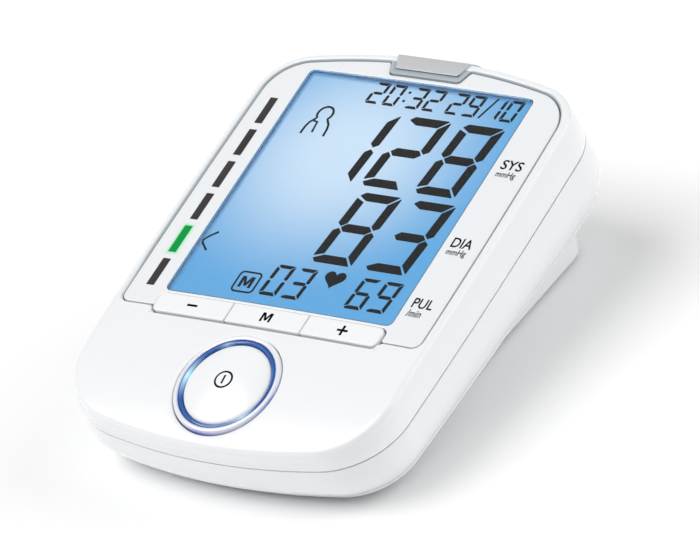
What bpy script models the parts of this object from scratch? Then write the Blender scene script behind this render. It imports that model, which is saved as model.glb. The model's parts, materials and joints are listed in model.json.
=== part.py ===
"""Upper arm blood pressure monitor: a desk-top case with a raised display deck, keys, pump and batteries.

Lengths are millimetres in this file and become metres where a mesh is made. The deck frame (u, v, w)
lies in the sloping display deck: u to the right, v up the slope to the rear, w out of the deck. Its
origin is the middle of the display window. The world frame has +Y to the rear and +Z up, with the
origin on the table under the middle of the object.
"""

import math

import bmesh
import bpy
import numpy as np
from mathutils import Matrix

MM = 0.001

# Driving dimensions of the case
WIDTH = 118.0
DECK_TILT = math.radians(11.4)
DECK_Y = 16.8
DECK_Z = 48.0
FRONT_V = -98.9
REAR_V = 57.5
SIDE_MID_V = -20.0
FRONT_BOW = 200.0
REAR_BOW = 220.0
SIDE_BOW = 2200.0
FRONT_CORNER = 24.0
REAR_CORNER = 18.0
CROWN = 0.00026
APRON_V = -58.0
APRON_DROP = 0.0029
WALL = 2.3
GAP = 0.3
EDGE_ROUND = 1.8
SIDE_LEAN = 0.4
SIDE_BULGE = 0.4
PARTING_DEPTH = 11.6
PARTING_SLOPE = 0.017
PARTING_GROOVE = 0.35
FLOOR_DEPTH = 28.8
FLOOR_SLOPE = 0.065
TUCK = 4.6
LOWER_BULGE = 0.9
LOWER_ROUND = 1.6
RING_CENTRE = np.array([0.0, -18.0])
CORNER_STEPS = 8
SIDE_STEPS = 4
END_STEPS = 8

# Foot wedge under the case, in the world frame
FOOT_HALF_WIDTH = 44.5
FOOT_FRONT = -64.0
FOOT_REAR = 68.0
FOOT_CORNER = 12.0
FOOT_BASE = 1.2
FOOT_CHAMFER = 1.0
PAD_RADIUS = 5.5
PAD_DEPTH = 1.0
PAD_PLACES = ((-35.0, -52.0), (35.0, -52.0), (-36.5, 57.0), (36.5, 57.0))

# Display stack, deck frame
PANEL_INSET = 3.6
PANEL_FRONT_V = -53.0
PANEL_CORNER = 3.0
LENS_TOP = -0.4
LENS_THICK = 1.6
LEDGE_OFFSET = -5.0
WINDOW_HALF_U = 41.7
WINDOW_HALF_V = 46.6
WINDOW_CORNER = 2.0
GLASS_HALF_U = 41.4
GLASS_HALF_V = 46.3
GLASS_CORNER = 1.7
GLASS_TOP = -2.8
GLASS_THICK = 2.5
BACKLIGHT_THICK = 2.6
HOLDER_WALL = 1.3
HOLDER_TOP = -5.9
HOLDER_BOTTOM = -13.0
BADGE_FRONT_V = 50.4
BADGE_HALF_FRONT = 11.6
BADGE_HALF_REAR = 14.3
BADGE_TOP = 0.5
BADGE_BOTTOM = -2.1
BADGE_LIP = 6.0
BADGE_LIP_GAP = 0.4
BADGE_LIP_THICK = 0.65
TONGUE_MARGIN = 2.0
TONGUE_TOP = -0.05

# Keys and start button, deck frame
KEY_FRONT_V = -55.4
KEY_REAR_V = -48.2
KEY_HALF_ROW = 41.3
KEY_SPLIT = 13.9
KEY_SPLIT_GAP = 0.5
KEY_CORNER = 2.0
KEY_PROUD = 0.3
KEY_THICK = 2.4
KEY_STEM_V = -52.9
KEY_STEM_RADIUS = 1.4
KEY_TRAVEL = 0.6
START_V = -77.2
START_CAP_RADIUS = 14.2
GUIDE_INNER = 14.5
GUIDE_OUTER = 15.6
SEAT_RADIUS = 19.5
SEAT_BOTTOM = -6.2
RING_INNER = 15.9
RING_OUTER = 17.6
RING_PROUD = 0.7
START_SEAT = -4.2
START_SWITCH_AHEAD = 1.2

# Board and what sits on it, deck frame
BOARD_TOP = -13.4
BOARD_THICK = 1.6
BOARD_PROFILE = (
    (40.0, -88.0),
    (44.5, -80.0),
    (44.5, -56.0),
    (51.8, -56.0),
    (51.8, 31.0),
    (44.5, 31.0),
    (44.5, 43.0),
    (38.0, 50.0),
)
SWITCH_SIZE = (6.0, 6.0, 3.2)
SWITCH_BUTTON_RADIUS = 1.7
SWITCH_BUTTON_RISE = 0.8
CHIP_LOW = (4.0, -52.0)
CHIP_HIGH = (18.0, -38.0)
CHIP_THICK = 1.4
SENSOR_LOW = (-40.0, -50.0)
SENSOR_HIGH = (-30.0, -40.0)
SENSOR_THICK = 3.4
NIPPLE_RADIUS = 1.2
NIPPLE_LENGTH = 2.0
BAR_U = -48.0
BAR_TOP_V = 32.0
BAR_PITCH = 13.6
BAR_LENGTH = 10.9
BAR_COUNT = 6
STRIP_THICK = 0.8
LED_HALF_U = 0.9
LED_HALF_V = 1.6
LED_TOP = 1.9
GUIDE_HALF = 1.5
GUIDE_RUN = 5 * BAR_PITCH + BAR_LENGTH
GUIDE_TOP = -3.1
GUIDE_BOTTOM = -10.4
CASE_SCREWS = ((-49.6, 36.0), (49.6, 36.0), (-49.6, -66.0), (49.6, -66.0))
BOARD_SCREWS = ((-38.0, -62.5), (38.0, -62.5))
SCREW_RADIUS = 1.3
SCREW_HEAD = 2.8
SCREW_HEAD_THICK = 1.8
CROSS_HALF_LONG = 1.6
CROSS_HALF_WIDE = 0.35
CROSS_DEPTH = 0.8
SCREW_HOLE = 1.6
HEAD_HOLE = 3.1
HEAD_DEPTH = 7.0
PILOT_TOP = -4.0
BOSS_RADIUS = 3.6
LOW_BOSS_RADIUS = 4.4
PILOT_LOW = -20.0
BOARD_SCREW_LENGTH = 8.0

# Battery bay, world frame
BAY_HALF = 30.7
BAY_FRONT = 8.0
BAY_REAR = 65.0
BAY_TOP = 18.9
BAY_WALL = 1.5
CELL_RADIUS = 7.15
CELL_LENGTH = 48.6
CELL_NUB = 1.2
CELL_NUB_RADIUS = 2.7
CELL_PITCH = 15.3
CELL_Z = 10.9
CELL_COUNT = 4
CONTACT_THICK = 0.5
CONTACT_LOW = 6.4
CONTACT_HIGH = 17.4
CONTACT_HALF = 6.0
SPRING_LENGTH = 4.4
SPRING_WIRE = 0.35
SPRING_TURNS = 3.5
SPRING_WIDE = 4.6
SPRING_NARROW = 2.4
COVER_GAP = 0.4
COVER_THICK = 2.0
TAB_X = 16.0
TAB_HALF = 4.0
TAB_REACH = 1.9
TAB_Z = 3.8
TAB_THICK = 1.2
TAB_ROOT = 1.6
GRIP_RADIUS = 8.0
GRIP_SETBACK = 3.0
GRIP_DEPTH = 0.9

# Air system, world frame
PUMP_Y = -7.5
PUMP_Z = 15.4
PUMP_RADIUS = 10.6
PUMP_SPLIT_X = -1.0
PUMP_HEAD_X = -26.0
MOTOR_X = 26.0
SHAFT_RADIUS = 1.0
SHAFT_CLEAR = 0.4
CAM_RADIUS = 4.6
CAM_OFFSET = 1.4
CAM_LOW = -8.5
CAM_HIGH = -3.5
SHAFT_BACK = 10.0
SHAFT_REACH = 12.0
SPOUT_RADIUS = 1.5
SPOUT_LENGTH = 2.5
CHAMBER_WALL = 2.0
CHAMBER_START = 8.0
MANIFOLD_LOW = (-41.0, -14.0, 10.0)
MANIFOLD_HIGH = (-33.0, 0.0, 20.0)
SOCKET_Y = 22.0
SOCKET_Z = 25.0
SOCKET_BORE = 3.2
SOCKET_OUTER = 5.2
SOCKET_FLANGE = 6.6
SOCKET_DEPTH = 12.0
BARB_RADIUS = 1.6
TUBE_RADIUS = 2.0
SOCKET_ROUTE = (
    (-37.0, 0.3, 16.0),
    (-37.0, 6.0, 16.3),
    (-35.5, 14.0, 21.0),
    (-35.3, 19.0, 24.2),
    (-37.6, 21.8, 24.9),
    (-41.2, SOCKET_Y, SOCKET_Z),
)
VALVE_LOW = (-41.0, -36.0, 7.5)
VALVE_HIGH = (-31.0, -20.0, 17.5)
VALVE_X = -36.0
VALVE_Z = 12.5
VALVE_BORE = 1.9
VALVE_BORE_DEPTH = 9.0
PLUNGER_HEAD_RADIUS = 2.4
PLUNGER_HEAD_FAR = 3.6
PLUNGER_HEAD_NEAR = 2.0
PLUNGER_REACH = 6.8
JACK_X = 34.0
JACK_FACE_Y = 75.9
JACK_NOSE = 4.2
JACK_NOSE_LENGTH = 6.0
JACK_MOUTH = 3.1
JACK_MOUTH_DEPTH = 9.0
JACK_PIN = 0.95
JACK_PIN_SETBACK = 1.5
JACK_HALF_X = 4.5
JACK_HALF_Z = 5.0
JACK_LENGTH = 15.0
JACK_Z = 34.0

# Colour, roughness, metallic and transmission of each kind of material
FINISHES = {
    "white_shell": ((0.93, 0.94, 0.95), 0.22, 0.0, 0.0),
    "white_key": ((0.95, 0.95, 0.96), 0.28, 0.0, 0.0),
    "silver_trim": ((0.72, 0.73, 0.75), 0.25, 1.0, 0.0),
    "clear_lens": ((0.93, 0.95, 0.98), 0.08, 0.0, 0.3),
    "blue_display": ((0.25, 0.53, 0.80), 0.30, 0.0, 0.0),
    "white_light": ((0.88, 0.92, 0.98), 0.40, 0.0, 0.0),
    "blue_guide": ((0.03, 0.16, 0.55), 0.20, 0.0, 0.0),
    "green_board": ((0.03, 0.22, 0.11), 0.45, 0.0, 0.0),
    "black_part": ((0.03, 0.03, 0.03), 0.40, 0.0, 0.0),
    "bright_metal": ((0.75, 0.75, 0.74), 0.28, 1.0, 0.0),
    "clear_hose": ((0.82, 0.85, 0.86), 0.35, 0.0, 0.0),
    "cell_wrap": ((0.10, 0.16, 0.30), 0.35, 0.0, 0.0),
    "grey_rubber": ((0.35, 0.36, 0.37), 0.80, 0.0, 0.0),
}


# Outline and surfaces of the case


def fillet_centre(first, first_radius, second, second_radius, radius, towards):
    """Centre of the circle of this radius that touches both large circles from the inside."""
    first_reach = first_radius - radius
    second_reach = second_radius - radius
    apart = second - first
    distance = np.linalg.norm(apart)
    along = (first_reach**2 - second_reach**2 + distance**2) / (2.0 * distance)
    across = math.sqrt(first_reach**2 - along**2)
    base = first + apart * along / distance
    side = np.array([-apart[1], apart[0]]) / distance
    return max((base + across * side, base - across * side), key=lambda point: point @ towards)


def heading(start, end):
    """Angle of the line from start to end."""
    return math.atan2(end[1] - start[1], end[0] - start[0])


def arc(centre, radius, start, end, steps):
    """Points and outward directions along an arc, without its last point."""
    angles = np.linspace(start, end, steps, endpoint=False)
    normals = np.stack([np.cos(angles), np.sin(angles)], axis=1)
    return centre + radius * normals, normals


def case_outline():
    """The case seen along w: four bowed sides with rounded corners, counter-clockwise."""
    front = np.array([0.0, FRONT_V + FRONT_BOW])
    rear = np.array([0.0, REAR_V - REAR_BOW])
    side = np.array([WIDTH / 2 - SIDE_BOW, SIDE_MID_V])
    low = fillet_centre(side, SIDE_BOW, front, FRONT_BOW, FRONT_CORNER, np.array([1.0, -1.0]))
    high = fillet_centre(side, SIDE_BOW, rear, REAR_BOW, REAR_CORNER, np.array([1.0, 1.0]))
    quarter = math.pi / 2
    pieces = [
        arc(front, FRONT_BOW, -quarter, heading(front, low), END_STEPS // 2),
        arc(low, FRONT_CORNER, heading(front, low), heading(side, low), CORNER_STEPS),
        arc(side, SIDE_BOW, heading(side, low), heading(side, high), SIDE_STEPS),
        arc(high, REAR_CORNER, heading(side, high), heading(rear, high), CORNER_STEPS),
        arc(rear, REAR_BOW, heading(rear, high), quarter, END_STEPS // 2),
    ]
    points = np.concatenate([piece[0] for piece in pieces] + [[[0.0, REAR_V]]])
    normals = np.concatenate([piece[1] for piece in pieces] + [[[0.0, 1.0]]])
    mirror = np.array([-1.0, 1.0])
    points = np.concatenate([points, points[-2:0:-1] * mirror])
    normals = np.concatenate([normals, normals[-2:0:-1] * mirror])
    return points, normals


OUTLINE, OUTWARD = case_outline()


def ring(inset):
    """The case outline, moved inwards by inset."""
    return OUTLINE - inset * OUTWARD


def shrink(flat, share):
    """The outline drawn in towards its middle."""
    return RING_CENTRE + share * (flat - RING_CENTRE)


def lift(flat, heights):
    """Plan points with their heights."""
    return np.column_stack([flat, np.broadcast_to(heights, len(flat))])


def deck_height(flat):
    """The deck: crowned across, and falling away in a parabola in front of the keys."""
    fall = np.maximum(0.0, APRON_V - flat[:, 1])
    return -CROWN * flat[:, 0] ** 2 - APRON_DROP * fall**2


def parting_height(flat):
    return -PARTING_DEPTH - PARTING_SLOPE * (flat[:, 1] - FRONT_V)


def floor_height(flat):
    return -FLOOR_DEPTH - FLOOR_SLOPE * (flat[:, 1] - FRONT_V)


def floor_world_height(world_y):
    """Height above the table of the sloping underside, outside the foot."""
    sine = math.sin(DECK_TILT)
    cosine = math.cos(DECK_TILT)
    front_y = cosine * FRONT_V + sine * FLOOR_DEPTH + DECK_Y
    front_z = sine * FRONT_V - cosine * FLOOR_DEPTH + DECK_Z
    slope = (sine - cosine * FLOOR_SLOPE) / (cosine + sine * FLOOR_SLOPE)
    return front_z + slope * (world_y - front_y)


# Making objects


def clear_scene():
    for item in list(bpy.data.objects):
        bpy.data.objects.remove(item, do_unlink=True)


def finish_material(name, finish):
    colour, roughness, metallic, transmission = FINISHES[finish]
    material = bpy.data.materials.new(name + "_material")
    material.use_nodes = True
    shader = material.node_tree.nodes["Principled BSDF"]
    shader.inputs["Base Color"].default_value = (*colour, 1.0)
    shader.inputs["Roughness"].default_value = roughness
    shader.inputs["Metallic"].default_value = metallic
    shader.inputs["Transmission Weight"].default_value = transmission
    material.diffuse_color = (*colour, 1.0)
    return material


def empty(name, place, turn=0.0, parent=None):
    frame = bpy.data.objects.new(name, None)
    bpy.context.scene.collection.objects.link(frame)
    frame.parent = parent
    frame.location = np.array(place) * MM
    frame.rotation_euler.x = turn
    return frame


def make_object(name, points, faces, finish, parent=None, place=(0.0, 0.0, 0.0)):
    mesh = bpy.data.meshes.new(name)
    mesh.from_pydata((np.asarray(points) * MM).tolist(), [], faces)
    shape = bmesh.new()
    shape.from_mesh(mesh)
    bmesh.ops.recalc_face_normals(shape, faces=shape.faces)
    shape.to_mesh(mesh)
    shape.free()
    mesh.shade_smooth()
    mesh.set_sharp_from_angle(angle=math.radians(35))
    if finish:
        mesh.materials.append(finish_material(name, finish))
    item = bpy.data.objects.new(name, mesh)
    bpy.context.scene.collection.objects.link(item)
    item.parent = parent
    item.location = np.array(place) * MM
    return item


def loft(name, loops, finish, parent=None, place=(0.0, 0.0, 0.0)):
    """Closed solid through loops of equal length, with a flat face over the first and the last."""
    count = len(loops[0])
    faces = [tuple(range(count))[::-1]]
    for level in range(len(loops) - 1):
        low = level * count
        for step in range(count):
            ahead = (step + 1) % count
            faces.append((low + step, low + ahead, low + count + ahead, low + count + step))
    faces.append(tuple(range((len(loops) - 1) * count, len(loops) * count)))
    return make_object(name, np.concatenate(loops), faces, finish, parent, place)


def prism(name, flat, low, high, finish, parent=None, place=(0.0, 0.0, 0.0)):
    return loft(name, [lift(flat, low), lift(flat, high)], finish, parent, place)


def circle(radius, steps, centre=(0.0, 0.0)):
    return arc(np.array(centre), radius, 0.0, 2 * math.pi, steps)[0]


def turned(name, profile, steps, finish, parent=None, place=(0.0, 0.0, 0.0)):
    """Solid of revolution about z through (radius, height) pairs, from one end to the other."""
    loops = [lift(circle(radius, steps), height) for radius, height in profile]
    return loft(name, loops, finish, parent, place)


def hollow_turned(name, profile, steps, finish, parent=None, place=(0.0, 0.0, 0.0)):
    """Ring of revolution about z: the profile is a closed run of (radius, height) pairs."""
    points = np.concatenate([lift(circle(radius, steps), height) for radius, height in profile])
    faces = []
    for level in range(len(profile)):
        low = level * steps
        high = (level + 1) % len(profile) * steps
        for step in range(steps):
            ahead = (step + 1) % steps
            faces.append((low + step, low + ahead, high + ahead, high + step))
    return make_object(name, points, faces, finish, parent, place)


def rounded_box_outline(low, high, radii, steps=3):
    """Rectangle with a radius for each corner: front right, rear right, rear left, front left."""
    quarter = math.pi / 2
    sides = (
        (high[0], low[1], -1, 1),
        (high[0], high[1], -1, -1),
        (low[0], high[1], 1, -1),
        (low[0], low[1], 1, 1),
    )
    points = []
    for number, (x, y, to_x, to_y) in enumerate(sides):
        radius = radii[number]
        centre = np.array([x + to_x * radius, y + to_y * radius])
        angles = np.linspace((number - 1) * quarter, number * quarter, steps + 1)
        points.append(centre + radius * np.stack([np.cos(angles), np.sin(angles)], axis=1))
    return np.concatenate(points)


def centred_outline(half_u, half_v, corner):
    return rounded_box_outline((-half_u, -half_v), (half_u, half_v), (corner,) * 4)


def box(name, low, high, finish, parent=None, place=(0.0, 0.0, 0.0)):
    flat = np.array([(low[0], low[1]), (high[0], low[1]), (high[0], high[1]), (low[0], high[1])])
    return prism(name, flat, low[2], high[2], finish, parent, place)


def lay_along(item, axis):
    """Turns a shape made about z so that its z runs along x or y."""
    if axis == "x":
        item.rotation_euler = (0.0, math.pi / 2, 0.0)
    if axis == "y":
        item.rotation_euler = (-math.pi / 2, 0.0, 0.0)
    return item


def combine(item, tool, operation):
    modifier = item.modifiers.new(tool.name, "BOOLEAN")
    modifier.operation = operation
    modifier.solver = "EXACT"
    modifier.object = tool
    tool.hide_render = True
    tool.display_type = "WIRE"


def cut(item, tool):
    combine(item, tool, "DIFFERENCE")


def add(item, tool):
    combine(item, tool, "UNION")


def curved_plate(name, flat, top, bottom, finish, parent=None):
    """Plate with this plan, whose two faces follow the deck at fixed heights from it."""
    middle = (flat.min(axis=0) + flat.max(axis=0)) / 2
    rings = [middle + share * (flat - middle) for share in (0.15, 0.45, 0.75, 1.0)]
    loops = [lift(flat_ring, deck_height(flat_ring) + bottom) for flat_ring in rings]
    loops += [lift(flat_ring, deck_height(flat_ring) + top) for flat_ring in rings[::-1]]
    return loft(name, loops, finish, parent)


def panel_outline(inset, front_v):
    """The display panel's plan: the case outline drawn in, closed by a straight front edge."""
    flat = ring(inset)
    flat = flat[flat[:, 1] > front_v + PANEL_CORNER]
    corner_u = flat[0, 0] - PANEL_CORNER
    corner_v = front_v + PANEL_CORNER
    half_turn = math.pi
    left = arc(np.array([-corner_u, corner_v]), PANEL_CORNER, half_turn, 1.5 * half_turn, 4)[0]
    right = arc(np.array([corner_u, corner_v]), PANEL_CORNER, 1.5 * half_turn, 2 * half_turn, 4)[0]
    return np.concatenate([flat, left, right])


def tube(name, route, radius, finish, sides=1):
    """Round bar that follows the route, with closed ends."""
    curve = bpy.data.curves.new(name, "CURVE")
    curve.dimensions = "3D"
    curve.bevel_depth = radius * MM
    curve.bevel_resolution = sides
    curve.use_fill_caps = True
    spline = curve.splines.new("POLY")
    spline.points.add(len(route) - 1)
    for point, place in zip(spline.points, route):
        point.co = (*(np.array(place) * MM), 1.0)
    curve.materials.append(finish_material(name, finish))
    item = bpy.data.objects.new(name, curve)
    bpy.context.scene.collection.objects.link(item)
    return item


def smooth_route(points, count):
    """Catmull-Rom curve through the points."""
    points = np.array(points, dtype=float)
    padded = np.concatenate([[2 * points[0] - points[1]], points, [2 * points[-1] - points[-2]]])
    route = []
    for place in np.linspace(0.0, len(points) - 1.0, count):
        first = min(int(place), len(points) - 2)
        t = place - first
        p0, p1, p2, p3 = padded[first : first + 4]
        bend = (2 * p0 - 5 * p1 + 4 * p2 - p3) * t**2 + (3 * p1 - p0 - 3 * p2 + p3) * t**3
        route.append(0.5 * (2 * p1 + (p2 - p0) * t + bend))
    return route


# Case and trim


def top_case_loops():
    """From the middle of the inner face out to the rim, up the outer wall and over the deck."""
    inner = ring(WALL)
    loops = []
    for share in (0.1, 0.4, 0.65, 0.85, 1.0):
        flat = shrink(inner, share)
        loops.append(lift(flat, deck_height(flat) - WALL))
    loops.append(lift(inner, parting_height(inner)))
    for rise in (0.0, 0.35, 0.7, 1.0):
        flat = ring(SIDE_LEAN * rise - SIDE_BULGE * math.sin(math.pi * rise))
        low = parting_height(flat)
        high = deck_height(flat) - EDGE_ROUND
        loops.append(lift(flat, low + rise * (high - low)))
    for angle in np.radians([30.0, 60.0, 90.0]):
        flat = ring(SIDE_LEAN + EDGE_ROUND * (1 - math.cos(angle)))
        loops.append(lift(flat, deck_height(flat) - EDGE_ROUND * (1 - math.sin(angle))))
    brow = ring(SIDE_LEAN + EDGE_ROUND)
    for share in (0.93, 0.86, 0.78, 0.7, 0.6, 0.48, 0.3, 0.1):
        flat = shrink(brow, share)
        loops.append(lift(flat, deck_height(flat)))
    return loops


def make_top_case(deck, start_frame):
    case = loft("top_case", top_case_loops(), "white_shell", deck)
    ledge_plan = panel_outline(2.0, PANEL_FRONT_V - 4.0)
    add(case, curved_plate("panel_ledge", ledge_plan, -1.0, LEDGE_OFFSET, None, deck))
    add(case, prism("start_seat", circle(SEAT_RADIUS, 40), SEAT_BOTTOM, -1.0, None, start_frame))
    for number, (u, v) in enumerate(CASE_SCREWS):
        low = parting_height(np.array([[u, v]]))[0]
        boss = circle(BOSS_RADIUS, 16, (u, v))
        add(case, prism(f"top_boss_{number}", boss, low, -1.8, None, deck))
    for number, (u, v) in enumerate(BOARD_SCREWS):
        post = circle(BOSS_RADIUS, 16, (u, v))
        add(case, prism(f"board_post_{number}", post, BOARD_TOP + GAP, -1.8, None, deck))
    recess_plan = panel_outline(PANEL_INSET, PANEL_FRONT_V)
    lens_bottom = LENS_TOP - LENS_THICK
    cut(case, curved_plate("panel_recess", recess_plan, 5.0, lens_bottom - GAP, None, deck))
    window = centred_outline(WINDOW_HALF_U, WINDOW_HALF_V, WINDOW_CORNER)
    cut(case, prism("window_opening", window, -9.0, 5.0, None, deck))
    slot_low = (-KEY_HALF_ROW - GAP, KEY_FRONT_V - GAP)
    slot_high = (KEY_HALF_ROW + GAP, KEY_REAR_V + GAP)
    slot = rounded_box_outline(slot_low, slot_high, (KEY_CORNER + GAP,) * 4)
    cut(case, prism("key_slot", slot, -9.0, 5.0, None, deck))
    light_low = (BAR_U - GUIDE_HALF - GAP, BAR_TOP_V - GUIDE_RUN - GAP, -9.0)
    light_high = (BAR_U + GUIDE_HALF + GAP, BAR_TOP_V + GAP, LENS_TOP)
    cut(case, box("light_slot", light_low, light_high, None, deck))
    cut(case, prism("ring_well", circle(RING_OUTER + GAP, 48), START_SEAT - GAP, 8.0, None, start_frame))
    cut(case, prism("start_hole", circle(RING_INNER, 48), SEAT_BOTTOM - 4.0, 8.0, None, start_frame))
    tongue = badge_plan(TONGUE_MARGIN, REAR_V - 1.0)
    add(case, prism("badge_tongue", tongue, -4.0, TONGUE_TOP, None, deck))
    cut(case, prism("badge_seat", badge_plan(GAP, REAR_V + 6.0), BADGE_BOTTOM - GAP, 8.0, None, deck))
    for number, (u, v) in enumerate(CASE_SCREWS + BOARD_SCREWS):
        pilot = circle(SCREW_HOLE, 10, (u, v))
        cut(case, prism(f"pilot_{number}", pilot, PILOT_LOW, PILOT_TOP, None, deck))
    return case


def badge_plan(margin, rear):
    """The badge's plan: a trapezoid that widens to the rear, with a margin round it."""
    front = BADGE_FRONT_V - margin
    spread = (BADGE_HALF_REAR - BADGE_HALF_FRONT) / (REAR_V - BADGE_FRONT_V)
    half_front = BADGE_HALF_FRONT + margin - spread * margin
    half_rear = BADGE_HALF_FRONT + margin + spread * (rear - BADGE_FRONT_V)
    return np.array([(-half_front, front), (half_front, front), (half_rear, rear), (-half_rear, rear)])


def make_badge(deck):
    """Blank trim piece that hooks over the rear rim: a plate with a lip down the rear wall."""
    lip_inner = REAR_V + BADGE_LIP_GAP
    lip_outer = lip_inner + BADGE_LIP_THICK
    section = [
        (BADGE_FRONT_V, BADGE_BOTTOM),
        (BADGE_FRONT_V, BADGE_TOP - 1.0),
        (BADGE_FRONT_V + 0.8, BADGE_TOP - 0.2),
        (BADGE_FRONT_V + 2.0, BADGE_TOP),
        (REAR_V - 1.7, BADGE_TOP),
        (REAR_V - 0.6, BADGE_TOP - 0.7),
        (REAR_V + 0.3, BADGE_BOTTOM),
        (lip_outer, BADGE_BOTTOM - 1.8),
        (lip_outer, -BADGE_LIP),
        (lip_inner, -BADGE_LIP),
        (lip_inner, BADGE_BOTTOM - 1.2),
        (REAR_V - 0.4, BADGE_BOTTOM),
    ]
    spread = (BADGE_HALF_REAR - BADGE_HALF_FRONT) / (lip_outer - BADGE_FRONT_V)
    loops = []
    for side in (-1.0, -0.94, 0.94, 1.0):
        ease = 0.0 if abs(side) < 0.99 else 0.4
        loop = []
        for v, w in section:
            half = BADGE_HALF_FRONT + spread * (v - BADGE_FRONT_V)
            loop.append((side * half, v, w - ease if w > 0 else w))
        loops.append(np.array(loop))
    return loft("badge", loops, "silver_trim", deck)


def make_bottom_case(deck):
    case = loft("bottom_case", bottom_loops(0.0, PARTING_GROOVE), "white_shell", deck)
    add(case, foot("foot_body", 0.0, FOOT_BASE, 2.5))
    cut(case, loft("slab_hollow", bottom_loops(WALL, -3.0), None, deck))
    cut(case, foot("foot_hollow", WALL, FOOT_BASE + WALL, WALL + 2.0))
    bay_low = (-BAY_HALF - BAY_WALL, BAY_FRONT - BAY_WALL, FOOT_BASE + 0.6)
    bay_high = (BAY_HALF + BAY_WALL, BAY_REAR + BAY_WALL, BAY_TOP + BAY_WALL)
    add(case, box("bay_walls", bay_low, bay_high, None))
    bay_inside = box("bay_hollow", (-BAY_HALF, BAY_FRONT, -2.0), (BAY_HALF, BAY_REAR, BAY_TOP), None)
    cut(case, bay_inside)
    for number, (u, v) in enumerate(CASE_SCREWS):
        plan = np.array([[u, v]])
        high = parting_height(plan)[0] - PARTING_GROOVE
        low = floor_height(plan)[0]
        boss = circle(LOW_BOSS_RADIUS, 16, (u, v))
        screw_way = circle(SCREW_HOLE, 10, (u, v))
        head_way = circle(HEAD_HOLE, 14, (u, v))
        add(case, prism(f"low_boss_{number}", boss, low + 1.0, high, None, deck))
        cut(case, prism(f"screw_way_{number}", screw_way, low - 4.0, high + 3.0, None, deck))
        cut(case, prism(f"head_way_{number}", head_way, low - 4.0, low + HEAD_DEPTH, None, deck))
    for side in (-1, 1):
        low = (side * TAB_X - TAB_HALF - GAP, BAY_FRONT - BAY_WALL - 1.0, TAB_Z - GAP)
        high = (side * TAB_X + TAB_HALF + GAP, BAY_FRONT + 0.5, TAB_Z + 3.0)
        cut(case, box(f"tab_slot_{side}", low, high, None))
    for number, (x, y) in enumerate(PAD_PLACES):
        well = circle(PAD_RADIUS + GAP, 20, (x, y))
        cut(case, prism(f"pad_well_{number}", well, -1.0, FOOT_BASE + PAD_DEPTH, None))
    place = (-WIDTH / 2, SOCKET_Y, SOCKET_Z)
    well = prism("socket_well", circle(SOCKET_FLANGE + GAP, 28), -6.0, 1.1, None, None, place)
    hole = prism("socket_hole", circle(SOCKET_OUTER + GAP, 28), -6.0, 6.0, None, None, place)
    cut(case, lay_along(well, "x"))
    cut(case, lay_along(hole, "x"))
    place = (JACK_X, JACK_FACE_Y, JACK_Z)
    hole = prism("jack_hole", circle(JACK_NOSE + GAP, 24), -6.0, 8.0, None, None, place)
    cut(case, lay_along(hole, "y"))
    return case


def bottom_loops(wall, drop):
    """The lower shell's skin, or its hollow when a wall is given: bulging, then tucked under."""
    loops = []
    bulge = 0.0 if wall else LOWER_BULGE
    for share in (0.0, 0.2, 0.4, 0.6, 0.75, 0.88, 1.0):
        flat = ring(wall + TUCK * share**3 - bulge * math.sin(math.pi * share))
        high = parting_height(flat) - drop
        low = floor_height(flat) + wall + LOWER_ROUND
        loops.append(lift(flat, high + share * (low - high)))
    for angle in np.radians([30.0, 60.0, 90.0]):
        flat = ring(wall + TUCK + LOWER_ROUND * (1 - math.cos(angle)))
        low = floor_height(flat) + wall
        loops.append(lift(flat, low + LOWER_ROUND * (1 - math.sin(angle))))
    return loops[::-1]


def foot(name, inset, base, rise):
    """Upright wedge under the case: flat below, and sloping above along the case's underside."""
    loops = []
    for step, height in ((FOOT_CHAMFER, 0.0), (0.0, FOOT_CHAMFER)):
        loops.append(lift(foot_outline(inset + (0.0 if inset else step)), base + height))
    flat = foot_outline(inset)
    loops.append(lift(flat, floor_world_height(flat[:, 1]) + rise))
    return loft(name, loops, None)


def foot_outline(inset):
    low = (-FOOT_HALF_WIDTH + inset, FOOT_FRONT + inset)
    high = (FOOT_HALF_WIDTH - inset, FOOT_REAR - inset)
    return rounded_box_outline(low, high, (FOOT_CORNER - inset,) * 4, 5)


def make_cover():
    """Battery cover whose origin is its front edge, with two tabs that hook into the bay wall."""
    half = BAY_HALF - COVER_GAP
    front = BAY_FRONT + COVER_GAP
    rear = BAY_REAR - COVER_GAP
    low = (-half, front, 0.0)
    high = (half, rear, COVER_THICK)
    cover = box("battery_cover", low, high, "white_shell", None, (0.0, 0.0, FOOT_BASE))
    cover.data.transform(Matrix.Translation((0.0, -front * MM, 0.0)))
    cover.location.y = front * MM
    for side in (-1, 1):
        high = (side * TAB_X + TAB_HALF, front + TAB_ROOT, TAB_Z + TAB_THICK)
        tab_low = (side * TAB_X - TAB_HALF, BAY_FRONT - TAB_REACH, TAB_Z)
        add(cover, box(f"cover_tab_{side}", tab_low, high, None))
        neck_low = (side * TAB_X - TAB_HALF, front, FOOT_BASE + COVER_THICK / 2)
        add(cover, box(f"cover_neck_{side}", neck_low, high, None))
    grip = circle(GRIP_RADIUS, 20, (0.0, rear + GRIP_SETBACK))
    cut(cover, prism("cover_grip", grip, FOOT_BASE - 1.0, FOOT_BASE + GRIP_DEPTH, None))
    return cover


def make_pads():
    for number, (x, y) in enumerate(PAD_PLACES, start=1):
        profile = ((PAD_RADIUS - 0.4, 0.0), (PAD_RADIUS, 0.4), (PAD_RADIUS, FOOT_BASE + PAD_DEPTH - GAP))
        turned(f"rubber_foot_{number}", profile, 24, "grey_rubber", None, (x, y, 0.0))


# Display and keys


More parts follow.
